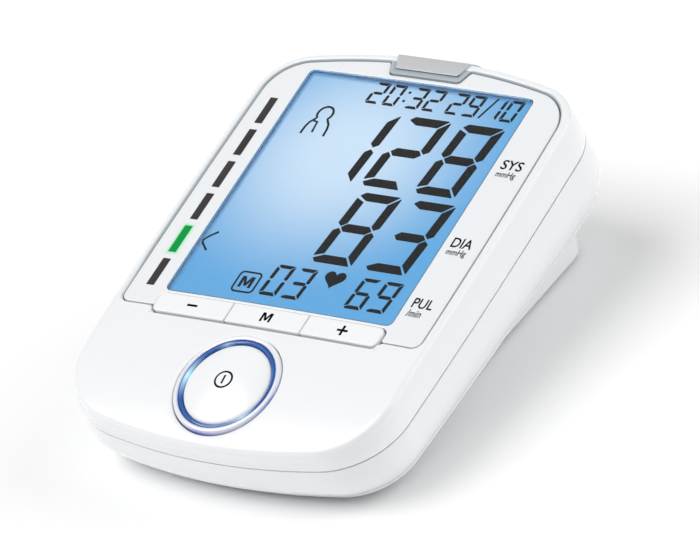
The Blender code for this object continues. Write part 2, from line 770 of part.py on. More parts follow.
def make_display(deck):
    lens_plan = panel_outline(PANEL_INSET + GAP, PANEL_FRONT_V + GAP)
    lens = curved_plate("display_lens", lens_plan, LENS_TOP, LENS_TOP - LENS_THICK, "clear_lens", deck)
    notch_low = (-KEY_HALF_ROW - 2 * GAP, KEY_FRONT_V - 2.0, -9.0)
    notch_high = (KEY_HALF_ROW + 2 * GAP, KEY_REAR_V + 2 * GAP, 5.0)
    cut(lens, box("lens_notch", notch_low, notch_high, None, deck))
    notch = badge_plan(TONGUE_MARGIN + GAP, REAR_V + 6.0)
    cut(lens, prism("lens_badge_notch", notch, -9.0, 5.0, None, deck))
    plan = centred_outline(GLASS_HALF_U, GLASS_HALF_V, GLASS_CORNER)
    glass_bottom = GLASS_TOP - GLASS_THICK
    light_top = glass_bottom - GAP
    prism("lcd_glass", plan, glass_bottom, GLASS_TOP, "blue_display", deck)
    prism("lcd_backlight", plan, light_top - BACKLIGHT_THICK, light_top, "white_light", deck)
    outer_half_u = GLASS_HALF_U + GAP + HOLDER_WALL
    outer_half_v = GLASS_HALF_V + GAP + HOLDER_WALL
    holder_low = (-outer_half_u, -outer_half_v, HOLDER_BOTTOM)
    holder = box("lcd_holder", holder_low, (outer_half_u, outer_half_v, HOLDER_TOP), "white_light", deck)
    inside = centred_outline(GLASS_HALF_U + GAP, GLASS_HALF_V + GAP, GLASS_CORNER)
    cut(holder, prism("holder_opening", inside, HOLDER_BOTTOM - 1.0, HOLDER_TOP + 1.0, None, deck))
    guide_low = (BAR_U - GUIDE_HALF, BAR_TOP_V - GUIDE_RUN, GUIDE_BOTTOM)
    guide_high = (BAR_U + GUIDE_HALF, BAR_TOP_V, GUIDE_TOP)
    box("indicator_light_guide", guide_low, guide_high, "white_light", deck)
    strip_low = (BAR_U - GUIDE_HALF, BAR_TOP_V - GUIDE_RUN, BOARD_TOP + GAP)
    strip_high = (BAR_U + GUIDE_HALF, BAR_TOP_V, BOARD_TOP + GAP + STRIP_THICK)
    strip = box("indicator_led_strip", strip_low, strip_high, "green_board", deck)
    for number in range(BAR_COUNT):
        middle = BAR_TOP_V - BAR_LENGTH / 2 - number * BAR_PITCH
        low = (BAR_U - LED_HALF_U, middle - LED_HALF_V, BOARD_TOP + GAP + STRIP_THICK / 2)
        high = (BAR_U + LED_HALF_U, middle + LED_HALF_V, BOARD_TOP + GAP + LED_TOP)
        add(strip, box(f"led_{number}", low, high, None, deck))


def key_outline(low_u, high_u):
    """Only the corners at the ends of the row are rounded."""
    left = KEY_CORNER if low_u < -KEY_HALF_ROW + 1 else 0.3
    right = KEY_CORNER if high_u > KEY_HALF_ROW - 1 else 0.3
    return rounded_box_outline((low_u, KEY_FRONT_V), (high_u, KEY_REAR_V), (right, right, left, left))


def make_keys(deck):
    half_gap = KEY_SPLIT_GAP / 2
    spans = {
        "minus": (-KEY_HALF_ROW, -KEY_SPLIT - half_gap),
        "memory": (-KEY_SPLIT + half_gap, KEY_SPLIT - half_gap),
        "plus": (KEY_SPLIT + half_gap, KEY_HALF_ROW),
    }
    switch_top = BOARD_TOP + GAP + SWITCH_SIZE[2]
    for word, (low_u, high_u) in spans.items():
        plan = key_outline(low_u, high_u)
        key = curved_plate(f"key_{word}", plan, KEY_PROUD, KEY_PROUD - KEY_THICK, "white_key", deck)
        middle = (low_u + high_u) / 2
        stem = circle(KEY_STEM_RADIUS, 12, (middle, KEY_STEM_V))
        stem_low = switch_top + KEY_TRAVEL + GAP
        add(key, prism(f"key_stem_{word}", stem, stem_low, -1.4, None, deck))
        make_switch(f"tact_switch_{word}", middle, KEY_STEM_V, deck)
    make_switch("tact_switch_start", 0.0, START_V + START_SWITCH_AHEAD, deck)


def make_switch(name, u, v, deck):
    half_u = SWITCH_SIZE[0] / 2
    half_v = SWITCH_SIZE[1] / 2
    low = (u - half_u, v - half_v, BOARD_TOP + GAP)
    body_top = BOARD_TOP + GAP + SWITCH_SIZE[2] - SWITCH_BUTTON_RISE
    switch = box(name, low, (u + half_u, v + half_v, body_top), "black_part", deck)
    button = circle(SWITCH_BUTTON_RADIUS, 14, (u, v))
    button_top = body_top + SWITCH_BUTTON_RISE
    add(switch, prism(name + "_button", button, body_top - 0.5, button_top, None, deck))


def make_start_button(start_frame):
    cap = (
        (1.6, -7.6),
        (1.6, -3.4),
        (START_CAP_RADIUS, -3.4),
        (START_CAP_RADIUS, -0.5),
        (START_CAP_RADIUS - 0.3, 0.0),
        (START_CAP_RADIUS - 1.0, 0.45),
        (10.5, 1.25),
        (7.0, 1.9),
        (3.5, 2.3),
        (0.6, 2.4),
    )
    turned("start_button", cap, 48, "white_key", start_frame)
    guide = (
        (GUIDE_INNER, SEAT_BOTTOM - 1.2),
        (SEAT_RADIUS - 1.0, SEAT_BOTTOM - 1.2),
        (SEAT_RADIUS - 1.0, SEAT_BOTTOM - GAP),
        (GUIDE_OUTER, SEAT_BOTTOM - GAP),
        (GUIDE_OUTER, -0.1),
        (GUIDE_INNER + 0.3, 0.1),
        (GUIDE_INNER, -0.2),
    )
    hollow_turned("ring_light_guide", guide, 48, "blue_guide", start_frame)
    bezel = (
        (RING_INNER, START_SEAT),
        (RING_OUTER, START_SEAT),
        (RING_OUTER, -0.5),
        (RING_OUTER - 0.5, 0.3),
        (RING_INNER + 0.4, RING_PROUD),
        (RING_INNER, 0.2),
    )
    hollow_turned("start_button_bezel", bezel, 48, "clear_lens", start_frame)


# Board, air system, batteries


def make_board(deck):
    right = np.array(BOARD_PROFILE)
    plan = np.concatenate([right, right[::-1] * np.array([-1.0, 1.0])])
    board = prism("main_board", plan, BOARD_TOP - BOARD_THICK, BOARD_TOP, "green_board", deck)
    for number, (u, v) in enumerate(BOARD_SCREWS):
        hole = circle(SCREW_HOLE, 10, (u, v))
        cut(board, prism(f"board_hole_{number}", hole, BOARD_TOP - 4.0, BOARD_TOP + 2.0, None, deck))
    under = BOARD_TOP - BOARD_THICK - GAP
    chip_low = (*CHIP_LOW, under - CHIP_THICK)
    box("controller_chip", chip_low, (*CHIP_HIGH, under), "black_part", deck)
    sensor_low = (*SENSOR_LOW, under - SENSOR_THICK)
    sensor = box("pressure_sensor", sensor_low, (*SENSOR_HIGH, under), "bright_metal", deck)
    nipple_low = under - SENSOR_THICK - NIPPLE_LENGTH
    sensor_middle = (np.array(SENSOR_LOW) + np.array(SENSOR_HIGH)) / 2
    nipple = circle(NIPPLE_RADIUS, 12, sensor_middle)
    add(sensor, prism("sensor_nipple", nipple, nipple_low, under - SENSOR_THICK + 0.4, None, deck))


def make_screws(deck):
    for number, (u, v) in enumerate(CASE_SCREWS, start=1):
        head_seat = floor_height(np.array([[u, v]]))[0] + HEAD_DEPTH - GAP
        make_screw(f"case_screw_{number}", (u, v, head_seat), PILOT_TOP - 1.0 - head_seat, deck)
    for number, (u, v) in enumerate(BOARD_SCREWS, start=1):
        head_seat = BOARD_TOP - BOARD_THICK - GAP
        make_screw(f"board_screw_{number}", (u, v, head_seat), BOARD_SCREW_LENGTH, deck)


def make_screw(name, place, length, deck):
    """Pan head below, shank above; the origin is where the head meets its seat."""
    profile = (
        (SCREW_HEAD * 0.75, -SCREW_HEAD_THICK),
        (SCREW_HEAD, -SCREW_HEAD_THICK * 0.6),
        (SCREW_HEAD, 0.0),
        (SCREW_RADIUS, 0.0),
        (SCREW_RADIUS * 0.9, length),
    )
    screw = turned(name, profile, 16, "bright_metal", deck, place)
    crossed = ((CROSS_HALF_LONG, CROSS_HALF_WIDE), (CROSS_HALF_WIDE, CROSS_HALF_LONG))
    for turn, (half_x, half_y) in enumerate(crossed):
        low = (-half_x, -half_y, -SCREW_HEAD_THICK - 1.0)
        high = (half_x, half_y, -SCREW_HEAD_THICK + CROSS_DEPTH)
        cut(screw, box(f"{name}_cross_{turn}", low, high, None, deck, place))


def make_pump():
    """Motor and pump head back to back on one axis along x, with a shaft and its offset cam."""
    centre = (PUMP_SPLIT_X, PUMP_Y, PUMP_Z)
    length = MOTOR_X - PUMP_SPLIT_X
    motor_profile = (
        (PUMP_RADIUS - 1.0, 0.0),
        (PUMP_RADIUS, 1.0),
        (PUMP_RADIUS, length - 1.0),
        (PUMP_RADIUS - 1.0, length),
    )
    motor_place = (PUMP_SPLIT_X + GAP, PUMP_Y, PUMP_Z)
    motor = turned("pump_motor", motor_profile, 32, "bright_metal", None, motor_place)
    lay_along(motor, "x")
    bore_plan = circle(SHAFT_RADIUS + SHAFT_CLEAR, 16)
    bore = prism("motor_bore", bore_plan, -2.0, SHAFT_REACH + 2.0, None, None, centre)
    cut(motor, lay_along(bore, "x"))
    head_profile = (
        (SPOUT_RADIUS, -SPOUT_LENGTH),
        (SPOUT_RADIUS, 0.0),
        (PUMP_RADIUS - 1.2, 0.0),
        (PUMP_RADIUS, 1.2),
        (PUMP_RADIUS, PUMP_SPLIT_X - PUMP_HEAD_X),
    )
    head_place = (PUMP_HEAD_X, PUMP_Y, PUMP_Z)
    head = turned("pump_head", head_profile, 32, "white_light", None, head_place)
    lay_along(head, "x")
    chamber_plan = circle(PUMP_RADIUS - CHAMBER_WALL, 28)
    chamber = prism("pump_chamber", chamber_plan, CHAMBER_START, 30.0, None, None, head_place)
    cut(head, lay_along(chamber, "x"))
    shaft_profile = ((SHAFT_RADIUS, -SHAFT_BACK), (SHAFT_RADIUS, SHAFT_REACH))
    shaft = turned("pump_shaft", shaft_profile, 16, "bright_metal", None, centre)
    lay_along(shaft, "x")
    cam_plan = circle(CAM_RADIUS, 24, (CAM_OFFSET, 0.0))
    cam = prism("pump_cam", cam_plan, CAM_LOW, CAM_HIGH, None, None, centre)
    add(shaft, lay_along(cam, "x"))


def make_air_system():
    """Manifold, release valve, cuff socket and the three hoses that join them."""
    box("air_manifold", MANIFOLD_LOW, MANIFOLD_HIGH, "white_light")
    valve = box("release_valve", VALVE_LOW, VALVE_HIGH, "black_part")
    valve_place = (VALVE_X, VALVE_LOW[1], VALVE_Z)
    bore = prism("valve_bore", circle(VALVE_BORE, 16), -2.0, VALVE_BORE_DEPTH, None, None, valve_place)
    cut(valve, lay_along(bore, "y"))
    rod_radius = VALVE_BORE - GAP
    plunger_profile = (
        (PLUNGER_HEAD_RADIUS, -PLUNGER_HEAD_FAR),
        (PLUNGER_HEAD_RADIUS, -PLUNGER_HEAD_NEAR),
        (rod_radius, -PLUNGER_HEAD_NEAR),
        (rod_radius, PLUNGER_REACH),
    )
    plunger = turned("valve_plunger", plunger_profile, 16, "bright_metal", None, valve_place)
    lay_along(plunger, "y")
    pump_low = (MANIFOLD_HIGH[0] + GAP, PUMP_Y, PUMP_Z)
    pump_high = (PUMP_HEAD_X - SPOUT_LENGTH - GAP, PUMP_Y, PUMP_Z)
    tube("air_tube_pump", (pump_low, pump_high), TUBE_RADIUS, "clear_hose")
    valve_low = (VALVE_X, VALVE_HIGH[1] + GAP, VALVE_Z)
    valve_high = (VALVE_X, MANIFOLD_LOW[1] - GAP, VALVE_Z)
    tube("air_tube_valve", (valve_low, valve_high), TUBE_RADIUS, "clear_hose")
    tube("air_tube_socket", smooth_route(SOCKET_ROUTE, 18), TUBE_RADIUS, "clear_hose")
    profile = (
        (SOCKET_BORE, SOCKET_DEPTH),
        (SOCKET_BORE, 0.4),
        (SOCKET_BORE + 0.4, 0.0),
        (SOCKET_FLANGE - 0.4, 0.0),
        (SOCKET_FLANGE, 0.3),
        (SOCKET_FLANGE, 0.8),
        (SOCKET_OUTER, 0.8),
        (SOCKET_OUTER, SOCKET_DEPTH + 2.0),
        (BARB_RADIUS, SOCKET_DEPTH + 2.0),
        (BARB_RADIUS, SOCKET_DEPTH + 5.0),
    )
    socket_place = (-WIDTH / 2, SOCKET_Y, SOCKET_Z)
    socket = turned("cuff_socket", profile, 28, "white_light", None, socket_place)
    lay_along(socket, "x")


def make_jack():
    """Power inlet: a square body inside the case and a round nose through the rear wall."""
    low = (JACK_X - JACK_HALF_X, JACK_FACE_Y - JACK_LENGTH, JACK_Z - JACK_HALF_Z)
    high = (JACK_X + JACK_HALF_X, JACK_FACE_Y - JACK_NOSE_LENGTH, JACK_Z + JACK_HALF_Z)
    jack = box("dc_jack", low, high, "black_part")
    place = (JACK_X, JACK_FACE_Y, JACK_Z)
    nose = prism("jack_nose", circle(JACK_NOSE, 24), -JACK_NOSE_LENGTH - 1.0, 0.0, None, None, place)
    add(jack, lay_along(nose, "y"))
    mouth = prism("jack_mouth", circle(JACK_MOUTH, 24), -JACK_MOUTH_DEPTH, 2.0, None, None, place)
    cut(jack, lay_along(mouth, "y"))
    pin_plan = circle(JACK_PIN, 12)
    pin = prism("jack_pin", pin_plan, -JACK_MOUTH_DEPTH - 1.0, -JACK_PIN_SETBACK, None, None, place)
    add(jack, lay_along(pin, "y"))


def cell_places():
    """Each cell's x and whether its positive end is at the rear; they alternate."""
    for number in range(CELL_COUNT):
        yield number + 1, (number - (CELL_COUNT - 1) / 2) * CELL_PITCH, number % 2 == 0


def make_cells():
    front_face = BAY_FRONT + GAP + CONTACT_THICK
    rear_face = BAY_REAR - GAP - CONTACT_THICK
    total = CELL_LENGTH + CELL_NUB
    for number, x, nub_at_rear in cell_places():
        base = rear_face - GAP - total if nub_at_rear else front_face + GAP + total
        profile = (
            (CELL_RADIUS - 0.5, 0.0),
            (CELL_RADIUS, 0.5),
            (CELL_RADIUS, CELL_LENGTH - 0.8),
            (CELL_RADIUS - 0.8, CELL_LENGTH),
            (CELL_NUB_RADIUS, CELL_LENGTH),
            (CELL_NUB_RADIUS, total),
        )
        cell = turned(f"battery_{number}", profile, 28, "cell_wrap", None, (x, base, CELL_Z))
        cell.rotation_euler.x = -math.pi / 2 if nub_at_rear else math.pi / 2
        spring_y = front_face + GAP if nub_at_rear else rear_face - GAP
        side = 1.0 if nub_at_rear else -1.0
        make_spring(f"battery_spring_{number}", x, spring_y, side)
    plates = {
        "front_left": (-1.5, -0.5, BAY_FRONT + GAP),
        "front_right": (0.5, 1.5, BAY_FRONT + GAP),
        "rear_left": (-1.5, -1.5, rear_face),
        "rear_middle": (-0.5, 0.5, rear_face),
        "rear_right": (1.5, 1.5, rear_face),
    }
    for word, (first, last, y) in plates.items():
        low = (first * CELL_PITCH - CONTACT_HALF, y, CONTACT_LOW)
        high = (last * CELL_PITCH + CONTACT_HALF, y + CONTACT_THICK, CONTACT_HIGH)
        box(f"contact_plate_{word}", low, high, "bright_metal")


def make_spring(name, x, y, side):
    """Conical wire spring that widens towards its contact plate."""
    steps = int(SPRING_TURNS * 10)
    route = []
    for step in range(steps + 1):
        share = step / steps
        angle = 2 * math.pi * SPRING_TURNS * share
        radius = SPRING_WIDE - (SPRING_WIDE - SPRING_NARROW) * share
        along = SPRING_WIRE + share * (SPRING_LENGTH - 2 * SPRING_WIRE)
        place = (x + radius * math.cos(angle), y + side * along, CELL_Z + radius * math.sin(angle))
        route.append(place)
    tube(name, route, SPRING_WIRE, "bright_metal", 0)


def main():
    clear_scene()
    deck = empty("deck_frame", (0.0, DECK_Y, DECK_Z), DECK_TILT)
    start_height = deck_height(np.array([[0.0, START_V]]))[0]
    start_slope = math.atan(2 * APRON_DROP * (APRON_V - START_V))
    start_frame = empty("start_frame", (0.0, START_V, start_height), start_slope, deck)
    bpy.context.view_layer.update()
    make_top_case(deck, start_frame)
    make_bottom_case(deck)
    make_badge(deck)
    make_cover()
    make_pads()
    make_display(deck)
    make_keys(deck)
    make_start_button(start_frame)
    make_board(deck)
    make_screws(deck)
    make_pump()
    make_air_system()
    make_jack()
    make_cells()


main()
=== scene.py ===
import json
import math
import bmesh
import bpy
import numpy as np
from mathutils import Matrix, Vector
from mathutils.geometry import delaunay_2d_cdt


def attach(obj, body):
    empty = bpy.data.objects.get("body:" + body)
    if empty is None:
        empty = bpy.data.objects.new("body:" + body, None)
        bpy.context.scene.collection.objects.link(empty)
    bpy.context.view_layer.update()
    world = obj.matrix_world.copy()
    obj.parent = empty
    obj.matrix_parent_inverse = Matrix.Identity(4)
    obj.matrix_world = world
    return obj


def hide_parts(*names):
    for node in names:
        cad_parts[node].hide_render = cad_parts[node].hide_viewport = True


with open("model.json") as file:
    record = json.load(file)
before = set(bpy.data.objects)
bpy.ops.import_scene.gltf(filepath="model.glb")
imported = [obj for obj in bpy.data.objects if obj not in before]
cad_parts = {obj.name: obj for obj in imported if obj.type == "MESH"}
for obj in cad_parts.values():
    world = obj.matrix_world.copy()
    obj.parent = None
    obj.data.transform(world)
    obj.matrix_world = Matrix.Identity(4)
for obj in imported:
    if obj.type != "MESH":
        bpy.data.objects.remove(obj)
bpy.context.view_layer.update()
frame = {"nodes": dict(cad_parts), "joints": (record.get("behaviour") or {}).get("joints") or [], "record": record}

record = frame["record"]
joints = {joint["name"]: joint for joint in frame["joints"]}
mm = 0.001


# Places: shapes are worked out in millimetres, in the axes of the deck or of the start button.

def nodePoints(node):
    # the node's corners in the row frame, as one array in millimetres
    mesh = frame["nodes"][node].data
    flat = np.empty(len(mesh.vertices) * 3, np.float32)
    mesh.vertices.foreach_get("co", flat)
    return flat.reshape(-1, 3).astype(float) / mm


def axesFor(pressAxis):
    # u to the right, v up the slope, w out of the face that the key is pressed into
    outward = -np.array(pressAxis, float)
    outward /= np.linalg.norm(outward)
    right = np.array([1.0, 0.0, 0.0])
    return np.stack([right, np.cross(outward, right), outward])


def spanIn(turn, node):
    # lowest and highest corner of a node along these axes
    points = nodePoints(node) @ turn.T
    return points.min(axis=0), points.max(axis=0)


def middle(pair):
    return (pair[0] + pair[1]) / 2


panelDepth = 0.4  # the display panel's face lies this far below the crown of the deck
bezelProud = 0.7
deckTurn = axesFor(joints["minus_press"]["axis"])
startTurn = axesFor(joints["start_press"]["axis"])
glassSpan = spanIn(deckTurn, "lcd_glass")
lensSpan = spanIn(deckTurn, "display_lens")
bezelSpan = spanIn(startTurn, "start_button_bezel")
deckStart = np.array([0.0, middle(glassSpan)[1], lensSpan[1][2] + panelDepth]) @ deckTurn
startStart = np.array([0.0, middle(bezelSpan)[1], bezelSpan[1][2] - bezelProud]) @ startTurn
deck = {"turn": deckTurn, "start": deckStart}
button = {"turn": startTurn, "start": startStart}
room = {"turn": np.eye(3), "start": np.zeros(3)}


def toRoom(points, place):
    return (np.asarray(points, float) @ place["turn"] + place["start"]) * mm


def spanOf(node, place=deck):
    points = (nodePoints(node) - place["start"]) @ place["turn"].T
    return points.min(axis=0), points.max(axis=0)


topSpan = spanOf("top_case")
caseShape = {
    "swell": 0.22,          # how far the side wall bulges past the plan
    "cornerFront": 24.0,
    "cornerRear": 18.0,
    "bowFront": 200.0,
    "bowRear": 220.0,
    "bowSide": 2200.0,
    "sideMiddle": -20.0,
    "crown": 0.00026,
    "apronStart": -58.0,
    "apronDrop": 0.0029,
    "edgeRound": 1.8,
    "lean": 0.4,
    "bulge": 0.4,
    "wall": 2.3,
    "partingDepth": 11.6,
    "partingSlope": 0.017,
    "frontReach": 98.9,     # from the deck's middle forward to the front edge
    "pointsRound": 26,      # points in each corner
    "pointsSide": 40,
    "pointsEnd": 26,
}
halfWidth = topSpan[1][0] - caseShape["swell"]
rearEdge = topSpan[1][1] - caseShape["swell"]
frontEdge = topSpan[0][1] + caseShape["swell"]


def filletMiddle(first, firstRadius, second, secondRadius, radius, towards):
    # the circle of this radius that touches both big circles from inside
    apart = second - first
    distance = np.linalg.norm(apart)
    firstReach, secondReach = firstRadius - radius, secondRadius - radius
    along = (firstReach**2 - secondReach**2 + distance**2) / (2 * distance)
    across = math.sqrt(firstReach**2 - along**2)
    side = np.array([-apart[1], apart[0]]) / distance
    foot = first + apart * along / distance
    return max((foot + across * side, foot - across * side), key=lambda spot: spot @ towards)


def heading(start, end):
    return math.atan2(end[1] - start[1], end[0] - start[0])


def arcPoints(centre, radius, start, end, count):
    angles = np.linspace(start, end, count, endpoint=False)
    outward = np.stack([np.cos(angles), np.sin(angles)], axis=1)
    return centre + radius * outward, outward


def casePlan(shape):
    # four bowed sides joined by tangent corner arcs, counter-clockwise from the middle of the front
    front = np.array([0.0, frontEdge + shape["bowFront"]])
    rear = np.array([0.0, rearEdge - shape["bowRear"]])
    side = np.array([halfWidth - shape["bowSide"], shape["sideMiddle"]])
    low = filletMiddle(side, shape["bowSide"], front, shape["bowFront"], shape["cornerFront"], np.array([1.0, -1.0]))
    high = filletMiddle(side, shape["bowSide"], rear, shape["bowRear"], shape["cornerRear"], np.array([1.0, 1.0]))
    quarter = math.pi / 2
    runs = [
        arcPoints(front, shape["bowFront"], -quarter, heading(front, low), shape["pointsEnd"]),
        arcPoints(low, shape["cornerFront"], heading(front, low), heading(side, low), shape["pointsRound"]),
        arcPoints(side, shape["bowSide"], heading(side, low), heading(side, high), shape["pointsSide"]),
        arcPoints(high, shape["cornerRear"], heading(side, high), heading(rear, high), shape["pointsRound"]),
        arcPoints(rear, shape["bowRear"], heading(rear, high), quarter, shape["pointsEnd"]),
    ]
    plan = np.concatenate([run[0] for run in runs] + [[[0.0, rearEdge]]])
    outward = np.concatenate([run[1] for run in runs] + [[[0.0, 1.0]]])
    flip = np.array([-1.0, 1.0])
    return np.concatenate([plan, plan[-2:0:-1] * flip]), np.concatenate([outward, outward[-2:0:-1] * flip])


planPoints, planOutward = casePlan(caseShape)


def caseRing(inset):
    return planPoints - np.asarray(inset).reshape(-1, 1) * planOutward


def deckHeight(flat):
    # a shallow parabola across, and a second one that drops away in front of the keys
    fall = np.maximum(0.0, caseShape["apronStart"] - flat[:, 1])
    return -caseShape["crown"] * flat[:, 0] ** 2 - caseShape["apronDrop"] * fall**2


def partingHeight(flat):
    # the seam between the cases: a plane that drops slightly towards the rear
    return -caseShape["partingDepth"] - caseShape["partingSlope"] * (flat[:, 1] + caseShape["frontReach"])


def lift(flat, height):
    return np.column_stack([flat, np.broadcast_to(height, len(flat))])


def offsetLoop(loop, distance):
    # moves each point of a counter-clockwise loop outwards, square to its two edges
    ahead = np.roll(loop, -1, axis=0) - loop
    behind = loop - np.roll(loop, 1, axis=0)
    ahead /= np.linalg.norm(ahead, axis=1)[:, None]
    behind /= np.linalg.norm(behind, axis=1)[:, None]
    along = ahead + behind
    along /= np.linalg.norm(along, axis=1)[:, None]
    outward = np.column_stack([along[:, 1], -along[:, 0]])
    square = np.clip((outward * np.column_stack([ahead[:, 1], -ahead[:, 0]])).sum(axis=1), 0.5, 1.0)
    return loop + outward * (np.asarray(distance) / square).reshape(-1, 1)


def roundedLoop(corners, radii, steps=7):
    # straight edges with an arc at each corner; a radius of 0 keeps the point
    corners = np.asarray(corners, float)
    loop = []
    for here, before, after, radius in zip(corners, np.roll(corners, 1, 0), np.roll(corners, -1, 0), radii):
        if radius == 0:
            loop.append(here[None])
            continue
        inward = (before - here) / np.linalg.norm(before - here)
        onward = (after - here) / np.linalg.norm(after - here)
        half = math.acos(float(np.clip(inward @ onward, -1, 1))) / 2
        centre = here + (inward + onward) / np.linalg.norm(inward + onward) * radius / math.sin(half)
        first = here + inward * radius / math.tan(half) - centre
        last = here + onward * radius / math.tan(half) - centre
        turn = math.atan2(first[0] * last[1] - first[1] * last[0], first @ last)
        angles = math.atan2(first[1], first[0]) + np.linspace(0, turn, steps)
        loop.append(centre + radius * np.stack([np.cos(angles), np.sin(angles)], axis=1))
    return np.concatenate(loop)


def finerLoop(loop, longest):
    # splits every edge longer than this into equal parts
    pieces = []
    for here, after in zip(loop, np.roll(loop, -1, axis=0)):
        parts = max(1, math.ceil(np.linalg.norm(after - here) / longest))
        pieces.append(here + (after - here) * (np.arange(parts) / parts)[:, None])
    return np.concatenate(pieces)


def circleLoop(radius, count, centre=(0.0, 0.0)):
    return arcPoints(np.array(centre, float), radius, 0.0, 2 * math.pi, count)[0]


def boxLoop(low, high, radius, longest=3.0):
    corners = [(low[0], low[1]), (high[0], low[1]), (high[0], high[1]), (low[0], high[1])]
    radii = radius if isinstance(radius, (list, tuple)) else [radius] * 4
    return finerLoop(roundedLoop(corners, radii), longest)


def insideLoop(points, loop):
    # a point is inside when a line to its right crosses the loop an odd number of times
    after = np.roll(loop, -1, axis=0)
    x, y = points[:, :1], points[:, 1:]
    rise = np.where(after[:, 1] == loop[:, 1], 1e-9, after[:, 1] - loop[:, 1])
    reach = loop[:, 0] + (y - loop[:, 1]) * (after[:, 0] - loop[:, 0]) / rise
    crossed = (loop[:, 1] > y) != (after[:, 1] > y)
    return (crossed & (x < reach)).sum(axis=1) % 2 == 1


def sheet(outer, holes, spacing):
    # triangles that fill the plan between its outer loop and its holes, over a staggered grid of points
    low, high = outer.min(axis=0), outer.max(axis=0)
    rows = np.arange(low[1] + spacing / 2, high[1], spacing)
    columns = np.arange(low[0] + spacing / 2, high[0], spacing)
    grid = np.stack(np.meshgrid(columns, rows), axis=-1)
    grid[1::2, :, 0] += spacing / 2
    inner = grid.reshape(-1, 2)
    keep = insideLoop(inner, outer)
    for hole in holes:
        keep &= ~insideLoop(inner, hole)
    inner = inner[keep]
    border = np.concatenate([outer] + list(holes))
    if len(inner):
        apart = np.linalg.norm(inner[:, None] - border[None], axis=2).min(axis=1)
        inner = inner[apart > spacing * 0.6]
    edges = []
    start = 0
    for loop in [outer] + list(holes):
        steps = np.arange(len(loop))
        edges += (np.column_stack([steps, np.roll(steps, -1)]) + start).tolist()
        start += len(loop)
    spots = np.concatenate([border, inner])
    found = delaunay_2d_cdt([tuple(spot) for spot in spots], edges, [], 0, 1e-6)
    flat = np.array([tuple(spot) for spot in found[0]])
    triangles = np.array(found[2])
    centres = flat[triangles].mean(axis=1)
    keep = insideLoop(centres, outer)
    for hole in holes:
        keep &= ~insideLoop(centres, hole)
    return flat, triangles[keep]


def wallStrip(loops):
    # quads between loops of equal length
    count = len(loops[0])
    step = np.arange(count)
    ahead = np.roll(step, -1)
    faces = [np.stack([step, ahead, ahead + count, step + count], axis=1) + level * count
             for level in range(len(loops) - 1)]
    return np.concatenate(loops), np.concatenate(faces)


def roundSteps(count=5):
    return np.radians(np.linspace(90.0, 0.0, count))


def plateParts(outer, holes, top, bottom, edge, spacing):
    # a plate with rounded upper edges: top(flat) and bottom(flat) give the heights of its faces
    parts = []
    flat, faces = sheet(offsetLoop(outer, -edge), [offsetLoop(hole, edge) for hole in holes], spacing)
    parts.append((lift(flat, top(flat)), faces))
    for loop, way in [(outer, -1)] + [(hole, 1) for hole in holes]:
        rings = []
        for angle in roundSteps():
            ring = offsetLoop(loop, way * edge * (1 - math.cos(angle)))
            rings.append(lift(ring, top(ring) - edge * (1 - math.sin(angle))))
        rings.append(lift(loop, bottom(loop)))
        parts.append(wallStrip(rings))
    flat, faces = sheet(outer, holes, spacing * 2)
    parts.append((lift(flat, bottom(flat)), faces))
    return parts


def turnedParts(profile, steps, closed):
    # a profile of (radius, height) turned about the w axis; an open one ends on the axis
    profile = np.asarray(profile, float)
    angles = np.linspace(0, 2 * math.pi, steps, endpoint=False)
    rings = [np.column_stack([radius * np.cos(angles), radius * np.sin(angles), np.full(steps, height)])
             for radius, height in profile]
    if closed:
        return [wallStrip(rings + rings[:1])]
    parts = [wallStrip(rings)]
    for ring in (rings[0], rings[-1]):
        tip = np.array([[0.0, 0.0, ring[0, 2]]])
        order = np.arange(steps)
        fan = np.column_stack([order, np.roll(order, -1), np.full(steps, steps)])
        parts.append((np.concatenate([ring, tip]), fan))
    return parts


def softProfile(corners, radii, steps=5):
    # a (radius, height) profile with rounded corners; its ends stay where they are
    return roundedLoop(corners, [0] + list(radii[1:-1]) + [0], steps)


def makePiece(name, parts, place, finish, body, nodes=(), crease=35.0):
    # joins the parts into one closed mesh whose faces point outwards, and hangs it on its body
    faces = []
    start = 0
    for points, group in parts:
        faces += (np.asarray(group) + start).tolist()
        start += len(points)
    mesh = bpy.data.meshes.new(name)
    mesh.from_pydata(toRoom(np.concatenate([part[0] for part in parts]), place).tolist(), [], faces)
    shape = bmesh.new()
    shape.from_mesh(mesh)
    bmesh.ops.remove_doubles(shape, verts=shape.verts, dist=2e-6)
    bmesh.ops.dissolve_degenerate(shape, edges=shape.edges, dist=1e-7)
    bmesh.ops.recalc_face_normals(shape, faces=shape.faces)
    shape.to_mesh(mesh)
    shape.free()
    return showPiece(name, mesh, finish, body, nodes, crease)


def showPiece(name, mesh, finish, body, nodes=(), crease=35.0):
    mesh.shade_smooth()
    mesh.set_sharp_from_angle(angle=math.radians(crease))
    mesh.materials.clear()
    mesh.materials.append(finish)
    piece = bpy.data.objects.new(name, mesh)
    bpy.context.scene.collection.objects.link(piece)
    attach(piece, body)
    if nodes:
        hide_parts(*nodes)
    return piece


def newMaterial(name):
    material = bpy.data.materials.new(name)
    material.use_nodes = True
    nodes = material.node_tree.nodes
    return material, nodes, material.node_tree.links, nodes["Principled BSDF"]


def addNoise(nodes, links, scale, detail=3.0):
    coordinates = nodes.new("ShaderNodeTexCoord")
    noise = nodes.new("ShaderNodeTexNoise")
    noise.inputs["Scale"].default_value = scale
    noise.inputs["Detail"].default_value = detail
    links.new(coordinates.outputs["Object"], noise.inputs["Vector"])
    return noise


